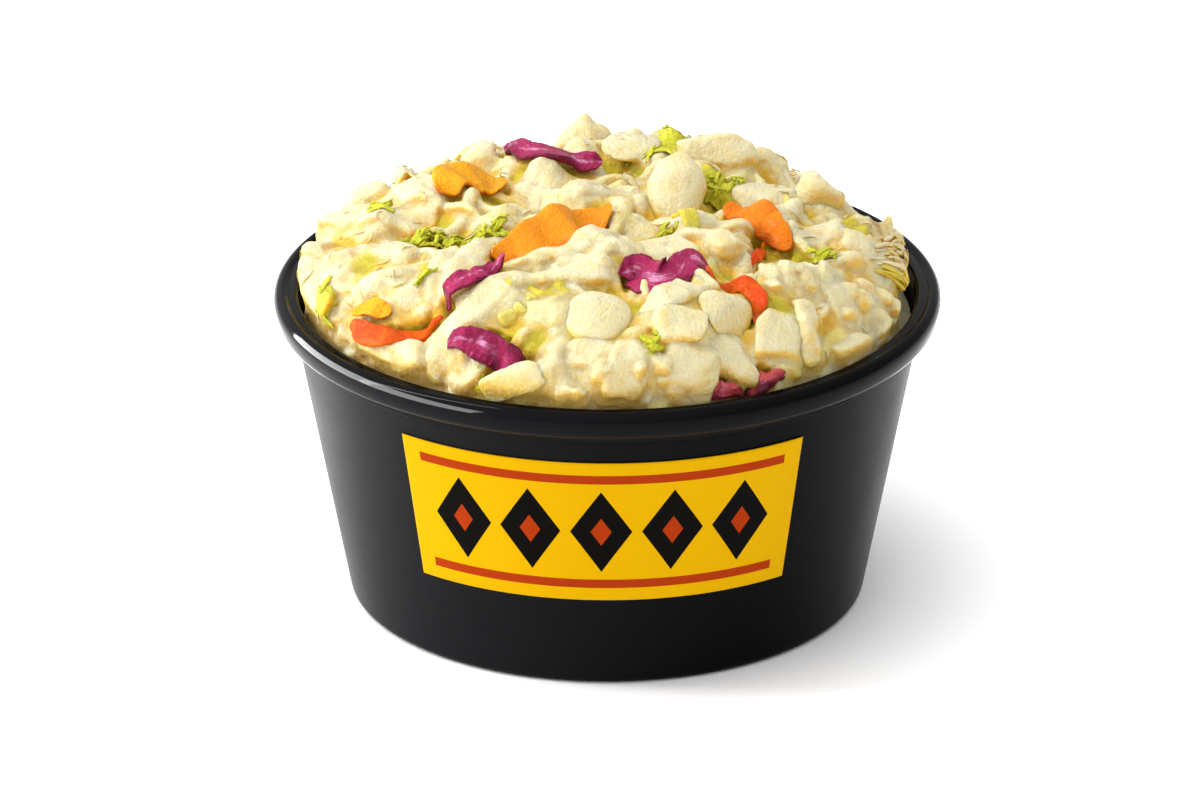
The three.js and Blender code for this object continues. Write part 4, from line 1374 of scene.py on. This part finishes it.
def core_points(steps=320, rings=100):
    """The inside of the heap and the dressing between its pieces, as a closed dome down to below the rim."""
    reach = wall_radius(CUP_HEIGHT - 3) - WALL_THICKNESS - 0.5
    radii = np.array([reach * math.sin(a) for a in np.linspace(0, math.pi / 2, rings + 1)[1:]])
    angles = np.linspace(0, 2 * math.pi, steps, endpoint=False)
    x, y = np.outer(radii, np.cos(angles)).ravel(), np.outer(radii, np.sin(angles)).ravel()
    level = blurred(pile, 3)
    filled = np.where(coloured, np.minimum(level, pale_pile), level)[cells(x, y)] - DRESSING_SINK
    dome = on_heap(x, y, np.maximum(filled, bare_lift(x, y)))
    low = dome[-steps:].copy()
    low[:, 2] = CORE_BOTTOM
    crown = [[0, 0, float(dome[:steps, 2].mean())]]
    faces = [(rings * steps + steps, i, (i + 1) % steps) for i in range(steps)]
    faces += grid_faces(rings + 1, steps) + [tuple(reversed(range(rings * steps, (rings + 1) * steps)))]
    return np.concatenate([dome, low, crown]), faces


points, faces = core_points()
melded.take((points, faces, points), 0.5)
print(f"core from {CORE_BOTTOM:.0f} to {points[:, 2].max():.1f} mm up")

# %% Meld
VOXEL = 0.36  # fine enough for the thin shreds


def applied(piece):
    """The mesh of a piece once its modifiers have worked. The piece itself goes."""
    mesh = bpy.data.meshes.new_from_object(piece.evaluated_get(bpy.context.evaluated_depsgraph_get()))
    bpy.data.objects.remove(piece)
    return mesh


source_points = clear_of_cup(np.concatenate(melded.points))
source = make_mesh("source", source_points, melded.faces)
remesh = source.modifiers.new("voxels", "REMESH")
remesh.mode = "VOXEL"
remesh.voxel_size = VOXEL * MM
soften = source.modifiers.new("soften", "SMOOTH")
soften.factor = 0.5
soften.iterations = 3
heap_mesh = applied(source)
print("melded skin:", len(heap_mesh.vertices), "points")

# %% Cut the skin below the rim and close it
CUT_HEIGHT = 43.0
shape = bmesh.new()
shape.from_mesh(heap_mesh)
everything = shape.verts[:] + shape.edges[:] + shape.faces[:]
bmesh.ops.bisect_plane(shape, geom=everything, plane_co=(0, 0, CUT_HEIGHT * MM), plane_no=(0, 0, -1),
                       clear_outer=True)
shape.verts.ensure_lookup_table()
hub = shape.verts.new((0, 0, CUT_HEIGHT * MM))
for edge in [e for e in shape.edges if len(e.link_faces) == 1]:
    loop = edge.link_loops[0]
    shape.faces.new((loop.link_loop_next.vert, loop.vert, hub))
shape.to_mesh(heap_mesh)
shape.free()
print("cut skin:", len(heap_mesh.vertices), "points")

# %% Thin out the skin's triangles
# Flat stretches need fewer triangles than the edges of pieces do, and Decimate takes them from there.
MOST_TRIANGLES = 190000
triangles = count_triangles(heap_mesh)
whole = show_mesh(heap_mesh)
thin = whole.modifiers.new("thin", "DECIMATE")
thin.ratio = min(1.0, MOST_TRIANGLES / triangles)
heap_mesh = applied(whole)
print("triangles before and after:", triangles, count_triangles(heap_mesh))

# %% Give the skin its grain, tint and depth
skin_points = np.empty(len(heap_mesh.vertices) * 3, np.float32)
heap_mesh.vertices.foreach_get("co", skin_points)
skin_points = skin_points.reshape(-1, 3) / MM
lookup = KDTree(len(source_points))
for index, point in enumerate(source_points):
    lookup.insert(point, index)
lookup.balance()
nearest = np.array([lookup.find(point)[1] for point in skin_points])
heap_mesh.validate()
heap_mesh.name = "dressed_heap"
give_attributes(heap_mesh, {
    "grain_mm": np.concatenate(melded.grain)[nearest], "tint": np.concatenate(melded.tint)[nearest],
    "depth": depth_in_heap(skin_points), "crease": depth_under(near_top, skin_points)})
heap = show_mesh(heap_mesh)
print("old points asked:", len(np.unique(nearest)), "of", len(source_points))

# %% [markdown]
# ## Cabbage in dressing
# Raw white cabbage is waxy and slightly translucent, and the dressing is an emulsion of oil in vinegar, so
# the surface is cream-coloured, wet and soft-looking. Light enters it and comes out again a little way off,
# warmer and yellower. The colour also holds painted shade: yellower and darker on sides that face down and
# in the heap's hollows, darkest in the creases between pieces. Fibres run along each piece. One function
# makes the finish of every vegetable: it reads where a point lies, mixes noise of real sizes with that, and
# lays colours over each other where the mixes say so.

# %% Pattern sizes and mixes
CREAM = "#f3e6bd"
FIBRE = 0.35  # mm, a bundle of fibres, because single ones are too fine to show
PORE, BLOT, PATCH, LEAFY = 0.6, 2.4, 3.2, 13.0  # mm
RELIEF_REACH = 3.5
PATTERNS = [  # name, the places it is laid over, its scale there, and its detail
    ("fibres", "stretched", 1.0, 4.0),
    ("patches", "place", 1 / (PATCH * MM), 3.0),
    ("blots", "place", 1 / (BLOT * MM), 3.0),
    ("pores", "place", 1 / (PORE * MM), 5.0),
    ("leafy", "place", 1 / (LEAFY * MM), 1.0),
]
MIXES = [  # each reading becomes first x factor + last, and later rows build on earlier ones
    ("shade", "fibres", 0.7, "patches"),
    ("shade", "tint", 0.45, "shade"),
    ("pale", "fibres", 0.9, "blots"),
    ("pale", "off_middle", -0.55, "pale"),
    # painted shade in hollows, from depth in the heap broken up by patches
    ("hollow_shade", "patches", 1.2, "depth"),
    # painted shade in creases, from depth under the nearest pieces
    ("crease_shade", "blots", 0.6, "crease"),
    # lime of outer leaves, and painted shade in deep places
    ("lime_leaf_and_hollow_shade", "leafy", 4.0, "depth"),
    # by the rim, less shade is painted on undersides, in hollows and as lime
    ("facing_up", "by_the_rim", 0.4, "facing_up"),
    ("hollow_shade", "by_the_rim", -2.0, "hollow_shade"),
    ("lime_leaf_and_hollow_shade", "by_the_rim", -1.5, "lime_leaf_and_hollow_shade"),
    ("relief", "fibres", 0.6, "pores"),
    ("relief", "blots", 1.2, "relief"),
]
print(len(PATTERNS), "patterns of noise,", len(MIXES), "mixes")


# %% What a material reads at each point
def readings(tree):
    """The place of a point, its grain, its lie in the heap, the noise there, and the mixes of them."""
    geometry = add(tree, "ShaderNodeNewGeometry")
    read = {"place": geometry.outputs["Position"]}
    for key, output in (("grain_mm", "Vector"), ("tint", "Fac"), ("depth", "Fac"), ("crease", "Fac")):
        read[key] = add(tree, "ShaderNodeAttribute", {"attribute_name": key}, None, output)
    read["facing_up"] = add(tree, "ShaderNodeSeparateXYZ", None, {"Vector": geometry.outputs["Normal"]}, "Z")
    height = add(tree, "ShaderNodeSeparateXYZ", None, {"Vector": read["place"]}, "Z")
    read["by_the_rim"] = add(tree, "ShaderNodeMapRange", {"interpolation_type": "SMOOTHSTEP"}, {
        "Value": height, "From Min": (CUP_HEIGHT + 3) * MM, "From Max": (CUP_HEIGHT - 3) * MM}, "Result")
    side = add(tree, "ShaderNodeSeparateXYZ", None, {"Vector": read["grain_mm"]}, "Z")
    read["off_middle"] = add(tree, "ShaderNodeMath", {"operation": "ABSOLUTE"}, {0: side}, 0)
    read["stretched"] = add(tree, "ShaderNodeMapping", None, {
        "Vector": read["grain_mm"], "Scale": (1 / FIBRE, 0.15 / FIBRE, 0.3)}, 0)
    for key, over, scale, detail in PATTERNS:
        read[key] = add(tree, "ShaderNodeTexNoise", None, {
            "Vector": read[over], "Scale": scale, "Detail": detail, "Roughness": 0.6}, "Fac")
    for key, first, factor, last in MIXES:
        read[key] = add(tree, "ShaderNodeMath", {"operation": "MULTIPLY_ADD"}, {
            0: read[first], 1: factor, 2: read[last]}, 0)
    return read


print("fibres are drawn", FIBRE, "mm wide")


# %% Dressed vegetable material
def dressed(name, colours, scatter=0.6, scatter_radius=(1.3, 1.0, 0.55), rough=0.38, coat=0.07, relief=0.12,
            streak=None, smear=0.0, lime=None):
    """A wet vegetable. Colours: its own, a darker, a tint, painted shade for undersides and hollows, and the
    darkest: painted shade for creases, which also darkens the edges of streaked strips.
    """
    material, tree = new_material(name)
    light, dark, third, painted_hollow_shade, crease_shade_and_edge_dark = (linear(colour) for colour in colours)
    read = readings(tree)
    layers = [("shade", 0.72, 1.4, 1.0, dark), ("tint", 0.6, 0.95, 0.85, third)]
    if streak:
        layers.append(("pale", 0.8, 1.15, 1.0, linear(streak)))
        layers.append(("off_middle", 0.78, 1.0, 0.7, crease_shade_and_edge_dark))
    # painted shade: the hollow colour on sides that face down or sideways, and in deep places of the heap
    layers += [("facing_up", 0.62, -0.2, 0.75, painted_hollow_shade), ("hollow_shade", 0.6, 1.8, 0.9, painted_hollow_shade)]
    # partly painted shade: the lime colour where the leafy pattern is strong and the heap is deep
    if lime:
        layers.append(("lime_leaf_and_hollow_shade", 2.6, 3.7, 0.8, linear(lime)))
    # painted shade: the darkest colour in the creases between pieces
    layers.append(("crease_shade", 1.05, 2.1, 0.65, crease_shade_and_edge_dark))
    if smear:
        layers.append(("blots", 1 - smear, 1.14 - smear, 1.0, linear(CREAM)))
    colour = light
    for key, start, end, most, paint in layers:
        share = add(tree, "ShaderNodeMapRange", {"interpolation_type": "SMOOTHSTEP"}, {
            "Value": read[key], "From Min": start, "From Max": end, "To Min": 0.0, "To Max": most}, "Result")
        colour = add(tree, "ShaderNodeMix", {"data_type": "RGBA"}, {0: share, 6: colour, 7: paint}, 2)
    bump = add(tree, "ShaderNodeBump", None, {
        "Height": read["relief"], "Strength": 0.9, "Distance": relief * RELIEF_REACH * MM}, "Normal")
    surface = add(tree, "ShaderNodeBsdfPrincipled", {"subsurface_method": "RANDOM_WALK"}, {
        "Base Color": colour, "Roughness": rough, "IOR": 1.4, "Specular IOR Level": 0.2,
        "Subsurface Weight": scatter, "Subsurface Radius": scatter_radius, "Subsurface Scale": MM,
        "Coat Weight": coat, "Coat Roughness": 0.18, "Coat IOR": 1.4, "Normal": bump}, "BSDF")
    add(tree, "ShaderNodeOutputMaterial", None, {"Surface": surface})
    return material


# partly the colour of outer leaves, partly painted shade in the heap's hollows
LIME = "#c3bd34"
# its own, a darker, a tint, then painted shade for undersides and hollows, and painted shade for creases
CABBAGE = ("#e4dbb6", "#e4d18e", "#d2c434", "#ebbb2c", "#b07e1a")
print("white cabbage goes from", CABBAGE[0], "to", CABBAGE[-1], "in its painted_shade_creases")

# %% White cabbage
# Strong scattering gives the eye soft, thick, milky pieces whose hollows glow yellow.
cabbage_skin = dressed("White cabbage, chopped, in creamy dressing", CABBAGE, scatter=0.85,
                       scatter_radius=(1.8, 1.3, 0.55), relief=0.15, lime=LIME)
# The leaf is thin, so it scatters little and its folds stay crisp.
leaf_skin = dressed("White cabbage leaf, thin, in creamy dressing", CABBAGE, scatter=0.12,
                    scatter_radius=(0.6, 0.5, 0.35), lime=LIME)
print("made:", cabbage_skin.name, "and", leaf_skin.name)

# %% Red cabbage, carrot and green leaf
# In each vegetable below, the fourth colour is painted shade for undersides and hollows, and the fifth is
# painted shade for creases, which on red cabbage also darkens its strips' edges.
# The skin of red cabbage is smooth and waxy: a glossier coat, pale cut streaks and smears of dressing.
red_skin = dressed("Red cabbage, shredded", ("#b5265e", "#861242", "#c04c46", "#6e1034", "#45081f"),
                   scatter=0.15, rough=0.3, coat=0.2, streak="#e39ac0", smear=0.3)
# Carrot is moist and lets red light furthest in, which makes it glow orange at its thin edges.
carrot_skin = dressed("Carrot, shredded", ("#dc4404", "#ec7404", "#f6b016", "#d66604", "#983e06"),
                      scatter=0.3, scatter_radius=(2.0, 0.8, 0.2), rough=0.32, coat=0.14, smear=0.26)
# Outer leaf is thin and dry next to the rest, so its slivers look flat and matt.
green_skin = dressed("Green cabbage leaf, chopped", ("#d8d640", "#b4ba20", "#9cb41e", "#b4a820", "#80800f"),
                     scatter=0.12, rough=0.35)
print("made:", red_skin.name, "and", carrot_skin.name, "and", green_skin.name)

# %% [markdown]
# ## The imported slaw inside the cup
# Below the rim, the slaw fills the cup to its floor. Hardly anything there can be seen, so a plain turned
# solid stands in for it, a little clear of the wall.

# %% Packed slaw
PACKED_GAP = 0.4
packed_profile = np.array([
    (0, FLOOR_TOP + 0.6),
    (wall_radius(FLOOR_TOP) - WALL_THICKNESS - 2.2, FLOOR_TOP + 0.6),
    (wall_radius(FLOOR_TOP + 2) - WALL_THICKNESS - PACKED_GAP, FLOOR_TOP + 2.6),
    (wall_radius(CUT_HEIGHT) - WALL_THICKNESS - PACKED_GAP, CUT_HEIGHT + 0.2),
    (0, CUT_HEIGHT + 0.2),
])
packed = make_mesh("packed_slaw", *turned(packed_profile, 96))
print("packed slaw:", len(packed.data.vertices), "points")

# %% Finish the slaw
finish_piece(packed, cabbage_skin, "slaw")
finish_piece(heap, cabbage_skin, "slaw")
for gatherer, skin in [(ribbons, cabbage_skin), (chunks, cabbage_skin), (leaves, leaf_skin),
                       (shreds, leaf_skin), (fibres, leaf_skin), (purple, red_skin),
                       (carrot, carrot_skin), (green, green_skin)]:
    finish_piece(gatherer.build(), skin, "slaw")

# %% [markdown]
# ## Floor
# A plain sheet of matt white card, far wider than the view. It gives the cup a soft shadow to stand in, and
# has no shine that would mirror the black wall.

# %% White card
CARD_REACH = 3000
corners = [(x * CARD_REACH, y * CARD_REACH, 0) for x, y in ((-1, -1), (1, -1), (1, 1), (-1, 1))]
floor_mesh = make_mesh("floor", corners, [(0, 1, 2, 3)], smooth=False)
paper, tree = new_material("Matt white card")
surface = add(tree, "ShaderNodeBsdfPrincipled", None, {
    "Base Color": linear("#fafafa"), "Roughness": 0.9, "Specular IOR Level": 0.1}, "BSDF")
add(tree, "ShaderNodeOutputMaterial", None, {"Surface": surface})
floor_mesh.data.materials.append(paper)
print(f"white card {2 * CARD_REACH / 1000:.0f} m across")

# %% [markdown]
# ## Light
# A soft white room does most of the work and is brightest overhead, to the left and at the front. A narrow
# strip on the left draws the bright edge down the cup's black wall. A card lights the cup alone, for the
# highlight along its rolled bead. Another lights the floor alone and keeps its shadow tight, and a weak spot
# from the left gives that shadow its side.

# %% Soft white room
BRIGHT_SIDE = (-0.49, -0.38, 0.77)
DIMMEST, BRIGHTEST = 0.50, 1.27
scene = bpy.context.scene
scene.view_settings.view_transform = "Standard"
world = bpy.data.worlds.new("Soft white room")
scene.world = world
world.use_nodes = True
tree = world.node_tree
direction = add(tree, "ShaderNodeTexCoord", None, None, "Generated")
ways = add(tree, "ShaderNodeVectorMath", {"operation": "DOT_PRODUCT"}, {
    0: direction, 1: BRIGHT_SIDE}, "Value")
brightness = add(tree, "ShaderNodeMapRange", None, {
    "Value": ways, "From Min": -0.4, "From Max": 1.0, "To Min": DIMMEST, "To Max": BRIGHTEST}, "Result")
tree.nodes["Background"].inputs["Color"].default_value = linear("#ffffff")
tree.links.new(brightness, tree.nodes["Background"].inputs["Strength"])
print("the room's brightness goes from", DIMMEST, "to", BRIGHTEST)


# %% Soft boxes
def soft_box(name, place, target, size, watts):
    lamp = bpy.data.lights.new(name, "AREA")
    lamp.shape = "RECTANGLE"
    lamp.size, lamp.size_y = (v * MM for v in size)
    lamp.energy = watts
    box = bpy.data.objects.new(name, lamp)
    box.location = Vector(place) * MM
    box.rotation_euler = (Vector(target) - Vector(place)).to_track_quat("-Z", "Y").to_euler()
    box.visible_camera = False
    scene.collection.objects.link(box)
    return box


soft_box("strip_left", (-470, -40, 330), (0, 0, 45), (50, 900), 4.2)
rim_card = soft_box("rim_card", (-430, -40, 130), (0, 0, 46), (780, 260), 28)
table_card = soft_box("table_card", (0, 0, 700), (0, 0, 0), (500, 500), 2.8)
for card, piece in ((rim_card, cup), (table_card, floor_mesh)):
    lit = bpy.data.collections.new(f"lit_by_{card.name}")
    lit.objects.link(piece)
    card.light_linking.receiver_collection = lit
    print(card.name, "lights only", piece.name)

# %% Weak spot
table_light = bpy.data.lights.new("table_light", "SPOT")
table_light.energy = 4.0
table_light.spot_size = math.radians(50)
table_light.spot_blend = 1.0
table_light.shadow_soft_size = 0.05
table_spot = bpy.data.objects.new("table_light", table_light)
table_spot.location = Vector((-200, 40, 300)) * MM
scene.collection.objects.link(table_spot)
print("spot:", table_light.energy, "W")

# %% [markdown]
# ## Camera
# It looks down as a person at the table does, from far away, so that the cup keeps its true proportions.

# %% Camera
DISTANCE = 2000.0
FOCAL_PIXELS = 13273.0
IMAGE_WIDTH = 1200
SENSOR = 36.0
AIM_RIGHT, AIM_UP = 1.10, 8.77  # how far the view's middle lies from the cup's middle, 20 mm up

forward = Vector((0, math.cos(LOOKING_DOWN), -math.sin(LOOKING_DOWN)))
upward = Vector((0, math.sin(LOOKING_DOWN), math.cos(LOOKING_DOWN)))
aim = Vector((0, 0, 20)) + Vector((-AIM_RIGHT, 0, 0)) + upward * AIM_UP
lens = bpy.data.cameras.new("camera")
lens.sensor_width = SENSOR
lens.lens = FOCAL_PIXELS / IMAGE_WIDTH * SENSOR
lens.clip_start, lens.clip_end = 0.1, 50
camera = bpy.data.objects.new("camera", lens)
camera.location = (aim - forward * DISTANCE) * MM
camera.rotation_euler = forward.to_track_quat("-Z", "Y").to_euler()
scene.collection.objects.link(camera)
scene.camera = camera
print(f"a lens of {lens.lens:.0f} mm, looking down at {math.degrees(LOOKING_DOWN):.1f} degrees")
